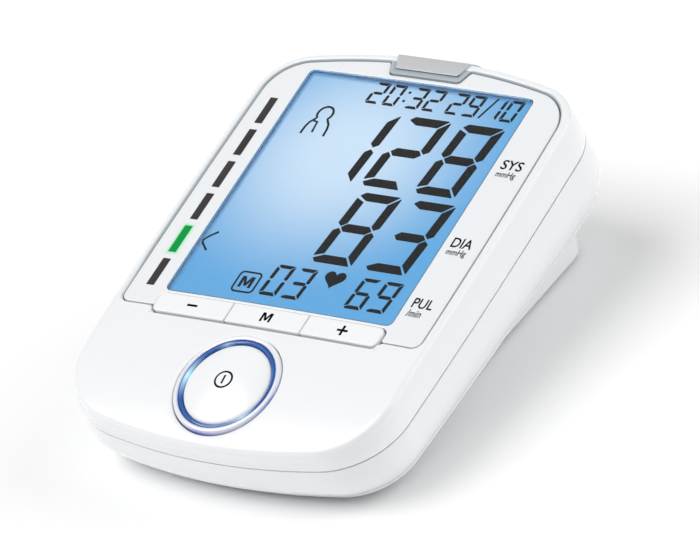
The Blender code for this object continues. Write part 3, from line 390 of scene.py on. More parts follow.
def addRange(nodes, links, source, low, high):
    ranger = nodes.new("ShaderNodeMapRange")
    ranger.inputs["From Min"].default_value = 0.3
    ranger.inputs["From Max"].default_value = 0.7
    ranger.inputs["To Min"].default_value = low
    ranger.inputs["To Max"].default_value = high
    links.new(source, ranger.inputs["Value"])
    return ranger.outputs["Result"]


def addBump(nodes, links, source, shader, distance, strength=0.5):
    bump = nodes.new("ShaderNodeBump")
    bump.inputs["Strength"].default_value = strength
    bump.inputs["Distance"].default_value = distance
    links.new(source, bump.inputs["Height"])
    links.new(bump.outputs["Normal"], shader.inputs["Normal"])


def mouldedFinish(name, look):
    # moulded plastic, rubber or metal: faint mottling in colour, an uneven polish and a fine surface grain
    material, nodes, links, shader = newMaterial(name)
    broad = addNoise(nodes, links, look.get("mottle", 40.0))
    fine = addNoise(nodes, links, look.get("grain", 900.0), 2.0)
    ramp = nodes.new("ShaderNodeValToRGB")
    colour = np.array(look["colour"])
    ramp.color_ramp.elements[0].position = 0.35
    ramp.color_ramp.elements[1].position = 0.65
    ramp.color_ramp.elements[0].color = (*(colour * (1 - look.get("vary", 0.02))), 1.0)
    ramp.color_ramp.elements[1].color = (*colour, 1.0)
    links.new(broad.outputs["Fac"], ramp.inputs["Fac"])
    links.new(ramp.outputs["Color"], shader.inputs["Base Color"])
    rough = look["rough"]
    spread = look.get("roughSpread", 0.04)
    polish = addRange(nodes, links, broad.outputs["Fac"], rough - spread, rough + spread)
    links.new(polish, shader.inputs["Roughness"])
    depth, strength = look.get("grainDepth", 0.00001), look.get("grainStrength", 0.15)
    addBump(nodes, links, fine.outputs["Fac"], shader, depth, strength)
    shader.inputs["Metallic"].default_value = look.get("metal", 0.0)
    shader.inputs["Coat Weight"].default_value = look.get("coat", 0.0)
    shader.inputs["Coat Roughness"].default_value = look.get("coatRough", 0.06)
    shader.inputs["IOR"].default_value = look.get("ior", 1.5)
    shader.inputs["Specular IOR Level"].default_value = look.get("gloss", 0.5)
    shader.inputs["Transmission Weight"].default_value = look.get("clear", 0.0)
    if "glow" in look:
        shader.inputs["Emission Color"].default_value = (*look["glow"], 1.0)
        shader.inputs["Emission Strength"].default_value = look["glowStrength"]
    return material


def paintedLightFinish(name, look):
    # plastic whose painted-light attribute mixes in a second colour of painted light and shade, such as the painted
    # green glow round the lit bar and the painted shade in the groove
    material = mouldedFinish(name, look)
    nodes, links = material.node_tree.nodes, material.node_tree.links
    shader = nodes["Principled BSDF"]
    paintedLightMask = nodes.new("ShaderNodeAttribute")
    paintedLightMask.attribute_name = "paintedLightMask"
    blend = nodes.new("ShaderNodeMix")
    blend.data_type = "RGBA"
    blend.inputs["B"].default_value = (*look["paintedLightAndShade"], 1.0)
    links.new(paintedLightMask.outputs["Fac"], blend.inputs["Factor"])
    links.new(shader.inputs["Base Color"].links[0].from_socket, blend.inputs["A"])
    links.new(blend.outputs["Result"], shader.inputs["Base Color"])
    # on lit parts the painted light and shade colour also feeds the glow
    if "glow" in look:
        links.new(blend.outputs["Result"], shader.inputs["Emission Color"])
    return material


def addPaintedLight(piece, amount, place=deck):
    # amount(points) gives, for each corner, how much of the painted light and shade colour it takes, from its place in
    # these axes
    mesh = piece.data
    flat = np.empty(len(mesh.vertices) * 3, np.float32)
    mesh.vertices.foreach_get("co", flat)
    points = (flat.reshape(-1, 3) / mm - place["start"]) @ place["turn"].T
    # the attribute holds where painted light and shade are mixed into the colour
    paintedLightMask = mesh.attributes.new("paintedLightMask", "FLOAT", "POINT")
    paintedLightMask.data.foreach_set("value", amount(points).astype(np.float32))


looks = {
    # the shell's second colour is painted shade, laid into the groove round the panel and round the badge
    "shell": {"colour": (0.86, 0.875, 0.89), "rough": 0.24, "roughSpread": 0.015, "coat": 0.35, "coatRough": 0.06,
              "vary": 0.004, "mottle": 25.0, "paintedLightAndShade": (0.30, 0.36, 0.40)},
    "key": {"colour": (0.88, 0.89, 0.90), "rough": 0.30, "roughSpread": 0.015, "coat": 0.2, "vary": 0.004,
            "mottle": 25.0},
    # the silver's second colour is painted shade, dark under the badge plate's front edge
    "silver": {"colour": (0.62, 0.635, 0.65), "rough": 0.36, "metal": 0.35, "paintedLightAndShade": (0.09, 0.11, 0.13),
               "grain": 1600.0, "grainStrength": 0.35},
    "clear": {"colour": (0.99, 0.99, 1.0), "rough": 0.03, "roughSpread": 0.01, "clear": 1.0, "ior": 1.35,
              "gloss": 0.1, "vary": 0.0, "grainStrength": 0.02},
    "inner": {"colour": (0.78, 0.79, 0.80), "rough": 0.48, "vary": 0.04},
    "board": {"colour": (0.02, 0.17, 0.08), "rough": 0.38, "coat": 0.3, "vary": 0.25, "mottle": 260.0},
    "black": {"colour": (0.025, 0.025, 0.027), "rough": 0.45, "vary": 0.3},
    "steel": {"colour": (0.62, 0.62, 0.61), "rough": 0.30, "metal": 1.0, "vary": 0.10, "mottle": 120.0},
    "wrap": {"colour": (0.05, 0.10, 0.24), "rough": 0.30, "coat": 0.5, "vary": 0.2, "mottle": 90.0},
    "hose": {"colour": (0.72, 0.76, 0.78), "rough": 0.40, "clear": 0.25, "vary": 0.05},
    "rubber": {"colour": (0.20, 0.205, 0.21), "rough": 0.78, "vary": 0.15, "grainStrength": 0.6,
               "grainDepth": 0.00004},
    "ink": {"colour": (0.003, 0.003, 0.004), "rough": 0.35, "vary": 0.3, "gloss": 0.03},
    "barInk": {"colour": (0.052, 0.046, 0.046), "rough": 0.35, "vary": 0.2, "gloss": 0.1},
    "barLit": {"colour": (0.0, 0.16, 0.03), "rough": 0.35, "vary": 0.2, "gloss": 0.1, "glow": (0.0, 0.21, 0.035),
               "glowStrength": 0.8},
}
# looks that carry a painted light and shade colour get the finish that mixes it in
finishes = {name: (paintedLightFinish if "paintedLightAndShade" in look else mouldedFinish)(name + "Finish", look)
            for name, look in looks.items()}
print("finishes made")


# The panel lies in a recess of the deck, which also holds the keys. A tongue reaches into it at the rear.
panelShape = {
    "inset": 3.6,
    "front": -53.0,
    "corner": 3.0,
    "gap": 0.3,
    "lip": 1.15,            # rounding of the deck into the recess
    "thick": 1.6,
    "floor": -2.35,
    "under": -5.0,
    "windowCorner": 2.0,
    "printTop": -0.4,
}
keyShape = {
    "row": 41.3,
    "gap": 0.3,
    "front": -55.4,
    "rear": -48.2,
    "corner": 2.0,
    "proud": 0.3,
    "edge": 0.32,
    "thick": 1.95,          # leaves the key's travel free above the recess floor
    "stem": 1.4,
    "stemAt": -52.9,
}
badgeShape = {
    "front": 50.4,
    "halfFront": 11.6,
    "halfRear": 14.3,
    "margin": 2.0,          # the tongue shows this much round the badge
    "reach": 7.1,
}
windowHalf = np.array([41.7, 46.6])
barShape = {"low": -49.4, "high": -46.5, "top": 33.2, "pitch": 13.6, "length": 10.9, "count": 6, "lit": 4}


def tongueCorners(grow):
    # front corner and rim corner of the badge's tongue on the right-hand side
    spread = (badgeShape["halfRear"] - badgeShape["halfFront"]) / badgeShape["reach"]
    margin = badgeShape["margin"] + grow
    front = badgeShape["front"] - margin
    halfFront = badgeShape["halfFront"] + margin - spread * margin
    rim = caseRing(panelShape["inset"] + grow)
    rim = rim[rim[:, 1] > 45.0]
    rim = rim[np.argsort(rim[:, 0])]
    halfRim = halfFront
    for _ in range(6):
        rimV = np.interp(halfRim, rim[:, 0], rim[:, 1])
        halfRim = halfFront + spread * (rimV - front)
    return np.array([halfFront, front]), np.array([halfRim, rimV])


def recessLoop(grow, baySide, bayEdge, radii):
    # the case plan drawn in, a tongue at the rear, and in front a straight edge stepped at the key row
    front = panelShape["front"] + grow
    ring = caseRing(panelShape["inset"] + grow)
    tongueFront, tongueRim = tongueCorners(grow)
    ring = ring[ring[:, 1] > front + panelShape["corner"] + 1.0]
    right = ring[ring[:, 0] > tongueRim[0] + 2.0]
    left = ring[ring[:, 0] < -tongueRim[0] - 2.0]
    flip = np.array([-1.0, 1.0])
    side = right[0, 0] - 0.06
    tongue = [tongueRim, tongueFront, tongueFront * flip, tongueRim * flip]
    step = [(-side, front), (-baySide, front), (-baySide, bayEdge),
            (baySide, bayEdge), (baySide, front), (side, front)]
    corners = np.concatenate([right, tongue, left, step])
    cornerRadii = [0] * len(right) + [1.2, 1.7, 1.7, 1.2] + [0] * len(left) + radii
    return finerLoop(roundedLoop(corners, cornerRadii), 2.5)


def startRing(radius, height=0.0, count=96):
    # a circle about the start button's axis, given in the deck's axes
    ring = lift(circleLoop(radius, count), height)
    return (ring @ button["turn"] + button["start"] - deck["start"]) @ deck["turn"].T


startSeat = {"well": 17.9, "bore": 15.9, "seat": -4.5, "edge": 0.3}
slotSide = keyShape["row"] + keyShape["gap"]
slotFront = keyShape["front"] - keyShape["gap"]
recess = recessLoop(0.0, slotSide, slotFront, [3.0, 1.6, 2.3, 2.3, 1.6, 3.0])
window = boxLoop(-windowHalf, windowHalf, panelShape["windowCorner"])
lightSlot = boxLoop((barShape["low"] - 0.4, -47.2), (barShape["high"] + 0.3, 33.5), 0.5)
keyMiddles = [(side * middle(spanOf("key_plus"))[0], keyShape["stemAt"]) for side in (-1, 0, 1)]


def buildCaseTop():
    # side wall, rolled edge, deck, recess and start well as one closed shell
    shape = caseShape
    parts = []
    inner = caseRing(shape["wall"])

    def underHeight(flat):
        return deckHeight(flat) + panelShape["under"]

    rings = [lift(inner, underHeight(inner)), lift(inner, partingHeight(inner))]
    lip = caseRing(0.35)
    rings.append(lift(lip, partingHeight(lip)))
    for rise in np.linspace(0.03, 1.0, 14):
        ring = caseRing(shape["lean"] * rise - shape["bulge"] * math.sin(math.pi * rise))
        low, high = partingHeight(ring), deckHeight(ring) - shape["edgeRound"]
        rings.append(lift(ring, low + rise * (high - low)))
    for angle in np.radians(np.linspace(0.0, 90.0, 9))[1:]:
        ring = caseRing(shape["lean"] + shape["edgeRound"] * (1 - math.cos(angle)))
        rings.append(lift(ring, deckHeight(ring) - shape["edgeRound"] * (1 - math.sin(angle))))
    parts.append(wallStrip(rings))
    brow = rings[-1][:, :2]

    lipSize = panelShape["lip"]
    mouth = offsetLoop(recess, lipSize)
    wellMouth = startRing(startSeat["well"] + startSeat["edge"])[:, :2]
    flat, faces = sheet(brow, [mouth, wellMouth], 1.8)
    parts.append((lift(flat, deckHeight(flat)), faces))

    rings = []
    for angle in np.radians(np.linspace(90.0, 0.0, 8)):
        ring = offsetLoop(recess, lipSize * (1 - math.cos(angle)))
        rings.append(lift(ring, deckHeight(ring) - lipSize * (1 - math.sin(angle))))
    rings.append(lift(recess, deckHeight(recess) + panelShape["floor"]))
    parts.append(wallStrip(rings))

    openings = [window, lightSlot] + [circleLoop(2.0, 20, spot) for spot in keyMiddles]
    flat, faces = sheet(recess, openings, 3.5)
    parts.append((lift(flat, deckHeight(flat) + panelShape["floor"]), faces))
    for loop in openings:
        parts.append(wallStrip([lift(loop, deckHeight(loop) + panelShape["floor"]), lift(loop, underHeight(loop))]))

    edge = startSeat["edge"]
    rings = []
    for angle in roundSteps():
        ring = startRing(startSeat["well"] + edge * (1 - math.cos(angle)))[:, :2]
        rings.append(lift(ring, deckHeight(ring) - edge * (1 - math.sin(angle))))
    rings.append(startRing(startSeat["well"], startSeat["seat"]))
    rings.append(startRing(startSeat["bore"], startSeat["seat"]))
    bore = startRing(startSeat["bore"], startSeat["seat"])[:, :2]
    rings.append(lift(bore, underHeight(bore)))
    parts.append(wallStrip(rings))

    flat, faces = sheet(inner, openings + [bore], 5.0)
    parts.append((lift(flat, underHeight(flat)), faces))
    return parts


def recessPaintedShade(points):
    # painted shade: the groove round panel and keys is painted a cooler grey, which deepens with the depth below the
    # deck
    depth = deckHeight(points[:, :2]) - points[:, 2]
    inside = insideLoop(points[:, :2], offsetLoop(recess, panelShape["lip"] + 0.02))
    rearward = np.clip((points[:, 1] + 46.0) / 12.0, 0.0, 1.0)
    onset = 0.9 - 0.62 * rearward
    return np.clip((depth - 0.02) / onset, 0.0, 1.0) * inside * 0.85


caseTop = makePiece("caseTop", buildCaseTop(), deck, finishes["shell"], "housing", ["top_case"], 40.0)
# paints the shade of the groove into the upper case's colour
addPaintedLight(caseTop, recessPaintedShade)
print("upper case made")


def aboveDeck(height):
    return lambda flat: deckHeight(flat) + height


def addPlanMap(piece, place, low, high):
    # a UV map laid over the piece's plan, 0 to 1 between its low and high corner
    mesh = piece.data
    flat = np.empty(len(mesh.vertices) * 3, np.float32)
    mesh.vertices.foreach_get("co", flat)
    points = (flat.reshape(-1, 3) / mm - place["start"]) @ place["turn"].T
    plan = (points[:, :2] - np.array(low)) / (np.array(high) - np.array(low))
    corners = np.empty(len(mesh.loops), np.int32)
    mesh.loops.foreach_get("vertex_index", corners)
    layer = mesh.uv_layers.new(name="plan")
    layer.data.foreach_set("uv", plan[corners].astype(np.float32).ravel())


def buildPanel():
    shape = panelShape
    gap = shape["gap"]
    outer = recessLoop(gap, slotSide + gap, keyShape["rear"] + 2 * gap, [2.7, 0.6, 2.5, 2.5, 0.6, 2.7])
    top, bottom = aboveDeck(shape["printTop"]), aboveDeck(shape["printTop"] - shape["thick"])
    plate = plateParts(outer, [window], top, bottom, 0.3, 1.6)
    pane = plateParts(offsetLoop(window, -0.01), [], aboveDeck(shape["printTop"] - 0.02), bottom, 0.05, 4.0)
    return plate, pane


# the panel's second colour is painted light: the green glow of the lit bar, painted on the print round it
looks["panel"] = {"colour": (0.84, 0.86, 0.88), "rough": 0.16, "coat": 0.6, "coatRough": 0.03, "roughSpread": 0.01,
                  "vary": 0.003, "grainStrength": 0.05, "paintedLightAndShade": (0.25, 0.80, 0.35)}
finishes["panel"] = paintedLightFinish("panelFinish", looks["panel"])
printParts, paneParts = buildPanel()
panel = makePiece("displayPanel", printParts, deck, finishes["panel"], "housing", ["display_lens"])
pane = makePiece("displayPane", paneParts, deck, finishes["clear"], "housing", ["display_lens"])


def barSpan(number):
    high = barShape["top"] - number * barShape["pitch"]
    return np.array([barShape["low"], high - barShape["length"]]), np.array([barShape["high"], high])


def barPaintedSpill(points):
    # painted light: fades with the square of the distance from the lit bar's edge
    low, high = barSpan(barShape["lit"])
    past = np.maximum(np.maximum(low - points[:, :2], points[:, :2] - high), 0.0)
    return np.clip(1.0 - np.linalg.norm(past, axis=1) / 1.7, 0.0, 1.0) ** 2 * 0.85


def buildPaintedSpill():
    # a fine patch of the panel's own surface round the lit bar, so the painted green light round it has smooth edges
    low, high = barSpan(barShape["lit"])
    loop = boxLoop(low - 1.9, high + 1.9, 1.2, 0.6)
    loop = loop[loop[:, 0] > -60.0]
    top = panelShape["printTop"]
    return plateParts(loop, [], aboveDeck(top + 0.02), aboveDeck(top - 0.2), 0.02, 0.4)


# the patch carries the bar's light painted into its colour
paintedLightAndShade = makePiece("barPaintedSpill", buildPaintedSpill(), deck, finishes["panel"], "housing")
addPaintedLight(panel, lambda points: np.zeros(len(points)))
addPaintedLight(paintedLightAndShade, barPaintedSpill)
for number in range(barShape["count"]):
    low, high = barSpan(number)
    lit = number == barShape["lit"]
    parts = plateParts(boxLoop(low, high, 0.15, 1.5), [], aboveDeck(panelShape["printTop"] + 0.05),
                       aboveDeck(panelShape["printTop"] - 0.3), 0.03, 1.5)
    makePiece(f"levelBar{number + 1}", parts, deck, finishes["barLit" if lit else "barInk"], "housing")
print("panel and level bars made")


# The display: a lit face with dark seven-segment figures just above it.
displayShape = {
    "slant": math.tan(math.radians(5.5)),  # the figures lean this far for each millimetre up
    "shift": np.array([-2.0, 1.9]),
    "inkDepth": 0.12,
    "bright": (0.575, 0.73, 0.88),
    "mid": (0.080, 0.35, 0.68),
    # painted shade: the face's rim is painted this deeper blue, where the window's edge shades it
    "paintedRimShade": (0.05, 0.22, 0.48),
    "unlit": (0.03, 0.06, 0.09),
    "glow": 1.02,
    "rim": 0.02,
    "centre": (0.355, 0.684),
    "reach": (1.34, 1.50),
}
segmentsOf = {"0": "abcdef", "1": "bc", "2": "abged", "3": "abgcd", "5": "afgcd", "6": "afgecd",
              "8": "abcdefg", "9": "abcdfg"}


def segmentOutlines(low, size, thick, gap, figure):
    # mitred bars of one seven-segment figure; its lower left corner is at low
    width, height = size
    half = height / 2
    step = thick / 2
    inner = thick + gap
    far = width - inner
    tip = thick * 0.45
    cut = width - gap - thick * 0.1
    notch = gap * 1.4
    shapes = {
        "a": [(gap, height - tip), (gap + tip, height), (cut, height), (far, height - thick), (inner, height - thick)],
        "d": [(gap, tip), (inner, thick), (far, thick), (cut, 0), (gap + tip, 0)],
        "f": [(0, height - thick * 0.75), (thick, height - thick - notch), (thick, half + step + gap / 2),
              (step, half + gap), (0, half + step)],
        "e": [(0, thick * 0.75), (0, half - step), (step, half - gap), (thick, half - step - gap / 2),
              (thick, thick + notch)],
        "g": [(step + gap, half), (inner, half + step), (far, half + step), (width - step - gap, half),
              (far, half - step), (inner, half - step)],
        "b": [(width, height - gap), (width - thick, height - inner), (width - thick, half + step + gap / 2),
              (width - step, half + gap), (width, half + step)],
        "c": [(width, gap), (width, half - step), (width - step, half - gap),
              (width - thick, half - step - gap / 2), (width - thick, inner)],
    }
    outlines = []
    for name in segmentsOf[figure]:
        outline = np.array(shapes[name], float)
        area = np.sum(outline[:, 0] * np.roll(outline[:, 1], -1) - np.roll(outline[:, 0], -1) * outline[:, 1])
        outline = outline if area > 0 else outline[::-1]
        outlines.append(roundedLoop(outline, [thick * 0.05] * len(outline), 3) + np.asarray(low))
    return outlines


def slanted(outlines, base):
    # leans the figures to the right, keeping the height given as base in place
    return [outline + np.column_stack([(outline[:, 1] - base) * displayShape["slant"], np.zeros(len(outline))])
            for outline in outlines]


def strokeOutline(points, width):
    # one outline round an open run of points, with the width of the stroke
    points = np.asarray(points, float)
    ahead = np.diff(points, axis=0)
    ahead /= np.linalg.norm(ahead, axis=1)[:, None]
    along = np.concatenate([ahead[:1], ahead[:-1] + ahead[1:], ahead[-1:]])
    along /= np.linalg.norm(along, axis=1)[:, None]
    side = np.column_stack([along[:, 1], -along[:, 0]]) * width / 2
    return np.concatenate([points + side, (points - side)[::-1]])


def figureRow(places, low, size, thick, gap):
    outlines = []
    for figure, u in places:
        outlines += segmentOutlines((u, low), size, thick, gap, figure)
    return slanted(outlines, low + size[1] / 2)


def frameOutlines(low, high, radius, width):
    # a rounded frame, given as an outer loop with its hole
    outer = boxLoop(low, high, radius, 1.0)
    return outer, [offsetLoop(outer, -width)]


def heartOutline(centre, size):
    # the usual heart curve: sixteen sine cubed across, four cosines upwards
    turn = np.linspace(0, 2 * math.pi, 48, endpoint=False)
    across = 16 * np.sin(turn) ** 3
    upwards = 13 * np.cos(turn) - 5 * np.cos(2 * turn) - 2 * np.cos(3 * turn) - np.cos(4 * turn)
    return (np.stack([across, upwards], axis=1) / 32 * size + centre)[::-1]


def personOutline(centre):
    # a round head over two sloping shoulders, drawn in one stroke
    turn = np.radians(np.linspace(222, -42, 22))
    head = np.stack([2.7 * np.cos(turn), 2.9 + 2.9 * np.sin(turn)], axis=1)
    right = np.array([(2.5, 0.2), (3.6, -1.2), (4.1, -3.0), (4.3, -6.0)])
    path = np.concatenate([right[::-1] * (-1, 1), head, right])
    return strokeOutline(path, 0.75) + centre


def capitalOutline(low, high, stroke):
    # a bold capital M in the box from low to high: two stems and a V between them
    (left, base), (right, top) = low, high
    centre = (left + right) / 2
    tall = top - base
    valley = (centre, base + 0.46 * tall)
    return np.array([(left, base), (left + stroke, base), (left + stroke, base + 0.68 * tall),
                     (centre - 0.4 * stroke, base + 0.14 * tall), (centre + 0.4 * stroke, base + 0.14 * tall),
                     (right - stroke, base + 0.68 * tall), (right - stroke, base), (right, base), (right, top),
                     (right - 1.3 * stroke, top), valley, (left + 1.3 * stroke, top), (left, top)])


def letterParts(text, low, high, height, depth):
    # lettering from the built-in font, stretched to the box from low to high
    curve = bpy.data.curves.new("lettering", "FONT")
    curve.body = text
    curve.extrude = 0.5
    curve.offset = 0.012
    curve.resolution_u = 4
    holder = bpy.data.objects.new("lettering", curve)
    bpy.context.scene.collection.objects.link(holder)
    graph = bpy.context.evaluated_depsgraph_get()
    mesh = bpy.data.meshes.new_from_object(holder.evaluated_get(graph))
    points = np.empty(len(mesh.vertices) * 3, np.float32)
    mesh.vertices.foreach_get("co", points)
    points = points.reshape(-1, 3).astype(float)
    start, end = points[:, :2].min(axis=0), points[:, :2].max(axis=0)
    flat = np.array(low) + (points[:, :2] - start) / (end - start) * (np.array(high) - np.array(low))
    mesh.calc_loop_triangles()
    faces = np.empty(len(mesh.loop_triangles) * 3, np.int32)
    mesh.loop_triangles.foreach_get("vertices", faces)
    faces = faces.reshape(-1, 3)
    solid = lift(flat, height(flat) + (points[:, 2] - 0.5) * depth)
    bpy.data.objects.remove(holder)
    bpy.data.curves.remove(curve)
    bpy.data.meshes.remove(mesh)
    return solid, faces


def inkPlates(shapes, height, depth):
    parts = []
    for shape in shapes:
        outer, holes = shape if isinstance(shape, tuple) else (shape, [])
        area = np.sum(outer[:, 0] * np.roll(outer[:, 1], -1) - np.roll(outer[:, 0], -1) * outer[:, 1])
        outer = outer if area > 0 else outer[::-1]
        for level in (0.0, -depth):
            flat, faces = sheet(outer, holes, 60.0)
            parts.append((lift(flat, height(flat) + level), faces))
        for loop in [outer] + holes:
            parts.append(wallStrip([lift(loop, height(loop)), lift(loop, height(loop) - depth)]))
    return parts


def displayFinish(name, look):
    # a lit face: brightest at the upper left, deeper blue with the distance from there, and a painted shade in a thin
    # band at the rim
    material, nodes, links, shader = newMaterial(name)
    coordinates = nodes.new("ShaderNodeTexCoord")
    mapping = nodes.new("ShaderNodeMapping")
    start = [-share * scale for share, scale in zip(look["centre"], look["reach"])]
    mapping.inputs["Location"].default_value = (*start, 0.0)
    mapping.inputs["Scale"].default_value = (*look["reach"], 1.0)
    links.new(coordinates.outputs["UV"], mapping.inputs["Vector"])
    gradient = nodes.new("ShaderNodeTexGradient")
    gradient.gradient_type = "SPHERICAL"
    links.new(mapping.outputs["Vector"], gradient.inputs["Vector"])
    ramp = nodes.new("ShaderNodeValToRGB")
    ramp.color_ramp.interpolation = "EASE"
    ramp.color_ramp.elements[0].position = 0.0
    ramp.color_ramp.elements[0].color = (*look["mid"], 1.0)
    ramp.color_ramp.elements[1].position = 0.9
    ramp.color_ramp.elements[1].color = (*look["bright"], 1.0)
    links.new(gradient.outputs["Fac"], ramp.inputs["Fac"])
    edge = nodes.new("ShaderNodeSeparateXYZ")
    links.new(coordinates.outputs["UV"], edge.inputs["Vector"])
    shade = None
    for axis in ("X", "Y"):
        # distance from the nearer side, as a share of the face
        fold = nodes.new("ShaderNodeMath")
        fold.operation = "PINGPONG"
        fold.inputs[1].default_value = 0.5
        links.new(edge.outputs[axis], fold.inputs[0])
        rim = nodes.new("ShaderNodeMapRange")
        rim.interpolation_type = "SMOOTHSTEP"
        rim.inputs["From Min"].default_value = 0.0
        rim.inputs["From Max"].default_value = look["rim"]
        links.new(fold.outputs["Value"], rim.inputs["Value"])
        if shade is None:
            shade = rim.outputs["Result"]
            continue
        both = nodes.new("ShaderNodeMath")
        both.operation = "MULTIPLY"
        links.new(shade, both.inputs[0])
        links.new(rim.outputs["Result"], both.inputs[1])
        shade = both.outputs["Value"]
    # mixes the painted rim shade into the face's glow
    blend = nodes.new("ShaderNodeMix")
    blend.data_type = "RGBA"
    blend.inputs["A"].default_value = (*look["paintedRimShade"], 1.0)
    links.new(shade, blend.inputs["Factor"])
    links.new(ramp.outputs["Color"], blend.inputs["B"])
    links.new(blend.outputs["Result"], shader.inputs["Emission Color"])
    shader.inputs["Base Color"].default_value = (*look["unlit"], 1.0)
    shader.inputs["Emission Strength"].default_value = look["glow"]
    noise = addNoise(nodes, links, 500.0)
    links.new(addRange(nodes, links, noise.outputs["Fac"], 0.30, 0.38), shader.inputs["Roughness"])
    return material


glassLow, glassHigh = spanOf("lcd_glass")
finishes["display"] = displayFinish("displayFinish", displayShape)


def buildDisplay():
    plan = boxLoop(glassLow[:2], glassHigh[:2], 0.8)
    return plateParts(plan, [], lambda flat: np.full(len(flat), glassHigh[2]),
                      lambda flat: np.full(len(flat), glassLow[2]), 0.05, 3.0)


face = makePiece("displayFace", buildDisplay(), deck, finishes["display"], "housing", ["lcd_glass"])
addPlanMap(face, deck, glassLow[:2], glassHigh[:2])
displayTop = glassHigh[2] + displayShape["inkDepth"]


def displayLevel(flat):
    return np.full(len(flat), displayTop)


def buildFigures():
    shapes = figureRow([("1", -15.4), ("2", 3.2), ("8", 22.8)], 3.3, (15.2, 29.1), 3.2, 0.4)
    shapes += figureRow([("8", 3.1), ("3", 22.8)], -28.3, (15.2, 28.9), 3.2, 0.4)
    top = [("2", -14.5), ("0", -8.3), ("3", 0.3), ("2", 6.5), ("2", 15.0), ("9", 21.2), ("1", 29.0), ("0", 35.0)]
    shapes += figureRow(top, 35.3, (4.9, 8.7), 1.0, 0.18)
    bottom = [("0", -7.9), ("3", 0.3), ("6", 23.4), ("9", 31.6)]
    shapes += figureRow(bottom, -43.6, (6.5, 12.2), 1.25, 0.24)
    for v in (38.0, 41.6):
        shapes += slanted([circleLoop(0.5, 10, (-1.4, v))], 39.6)
    shapes += slanted([strokeOutline([(27.8, 35.4), (30.0, 43.9)], 0.65)], 39.6)
    shapes.append(heartOutline(np.array([14.2, -33.6]), 7.4))
    shapes.append(personOutline(np.array([-25.6, 25.8])))
    arrow = [(-35.2, -22.8), (-37.3, -24.7), (-38.8, -26.8), (-38.4, -27.8), (-35.5, -30.5)]
    shapes.append(strokeOutline(arrow, 0.7))
    shapes.append(strokeOutline([(-28.0, 25.4), (-26.5, 25.1), (-26.1, 20.8)], 0.7))
    shapes.append(frameOutlines((-18.7, -44.1), (-10.4, -35.8), 1.6, 0.6))
    shapes.append(capitalOutline((-16.9, -42.1), (-12.3, -37.8), 1.0))
    shift = displayShape["shift"]
    moved = [(shape[0] + shift, [hole + shift for hole in shape[1]]) if isinstance(shape, tuple) else shape + shift
             for shape in shapes]
    return inkPlates(moved, displayLevel, displayShape["inkDepth"])


makePiece("displayFigures", buildFigures(), deck, finishes["ink"], "housing")
print("display made")


# Generic labels beside the display, and the marks on the keys.
labelBoxes = [
    ("SYS", (44.4, 18.1), (51.8, 21.9)),
    ("mmHg", (44.4, 14.4), (51.2, 17.3)),
    ("DIA", (44.4, -13.9), (51.6, -10.1)),
    ("mmHg", (44.4, -17.5), (51.2, -14.6)),
    ("PUL", (44.2, -38.4), (51.4, -34.6)),
    ("/min", (44.2, -41.9), (49.2, -39.1)),
]
labelTop = aboveDeck(panelShape["printTop"] + 0.04)
labelParts = [letterParts(text, low, high, labelTop, 0.06) for text, low, high in labelBoxes]
makePiece("panelLabels", labelParts, deck, finishes["ink"], "housing")


def buildKey(low, high, radii):
    outer = boxLoop(low, high, radii, 1.6)
    top, bottom = aboveDeck(keyShape["proud"]), aboveDeck(keyShape["proud"] - keyShape["thick"])
    parts = plateParts(outer, [], top, bottom, keyShape["edge"], 1.2)
    spot = middle((np.array(low), np.array(high)))[0]
    stem = [(keyShape["stem"], -1.4), (keyShape["stem"], -9.0)]
    for points, faces in turnedParts(stem, 24, False):
        parts.append((points + np.array([spot, keyShape["stemAt"], 0.0]), faces))
    return parts


markHeight = aboveDeck(keyShape["proud"] + 0.02)
corner = keyShape["corner"]
square = 0.3
keyCorners = {
    "minus": [corner, square, square, corner],
    "memory": [square] * 4,
    "plus": [square, corner, corner, square],
}
for name, radii in keyCorners.items():
    node, body = f"key_{name}", f"{name}_key"
    low, high = spanOf(node)
    low, high = np.array([low[0], keyShape["front"]]), np.array([high[0], keyShape["rear"]])
    makePiece(f"{name}Key", buildKey(low, high, radii), deck, finishes["key"], body, [node])
    spot = middle((low, high)) + np.array([0.0, 0.1])
    if name == "memory":
        marks = inkPlates([capitalOutline(spot - (1.9, 1.75), spot + (1.9, 1.75), 0.8)], markHeight, 0.06)
    else:
        strokes = [boxLoop(spot - (1.9, 0.42), spot + (1.9, 0.42), 0.08)]
        if name == "plus":
            wide = [(-1.9, -0.42), (-0.42, -0.42), (-0.42, -1.9), (0.42, -1.9), (0.42, -0.42), (1.9, -0.42),
                    (1.9, 0.42), (0.42, 0.42), (0.42, 1.9), (-0.42, 1.9), (-0.42, 0.42), (-1.9, 0.42)]
            strokes = [np.array(wide) + spot]
        marks = inkPlates(strokes, markHeight, 0.06)
    makePiece(f"{name}Mark", marks, deck, finishes["ink"], body)
print("keys and labels made")


# The start button: a domed cap in a lit blue ring, with a clear bezel round both.
startShape = {
    "cap": 14.2,
    "lip": -0.2,
    "icon": 3.1,
    "iconStroke": 0.62,
    "steps": 128,
}
capTop = spanOf("start_button", button)[1][2]


def capHeight(flat):
    # a dome: a parabola of the distance from the axis, rolled over at the rim
    away = np.linalg.norm(flat, axis=1) / startShape["cap"]
    rim = np.clip((away - 0.93) / 0.07, 0.0, 1.0)
    return startShape["lip"] + (capTop - startShape["lip"]) * (1 - away**2) - 0.35 * (1 - np.sqrt(1 - rim**2 * 0.999))


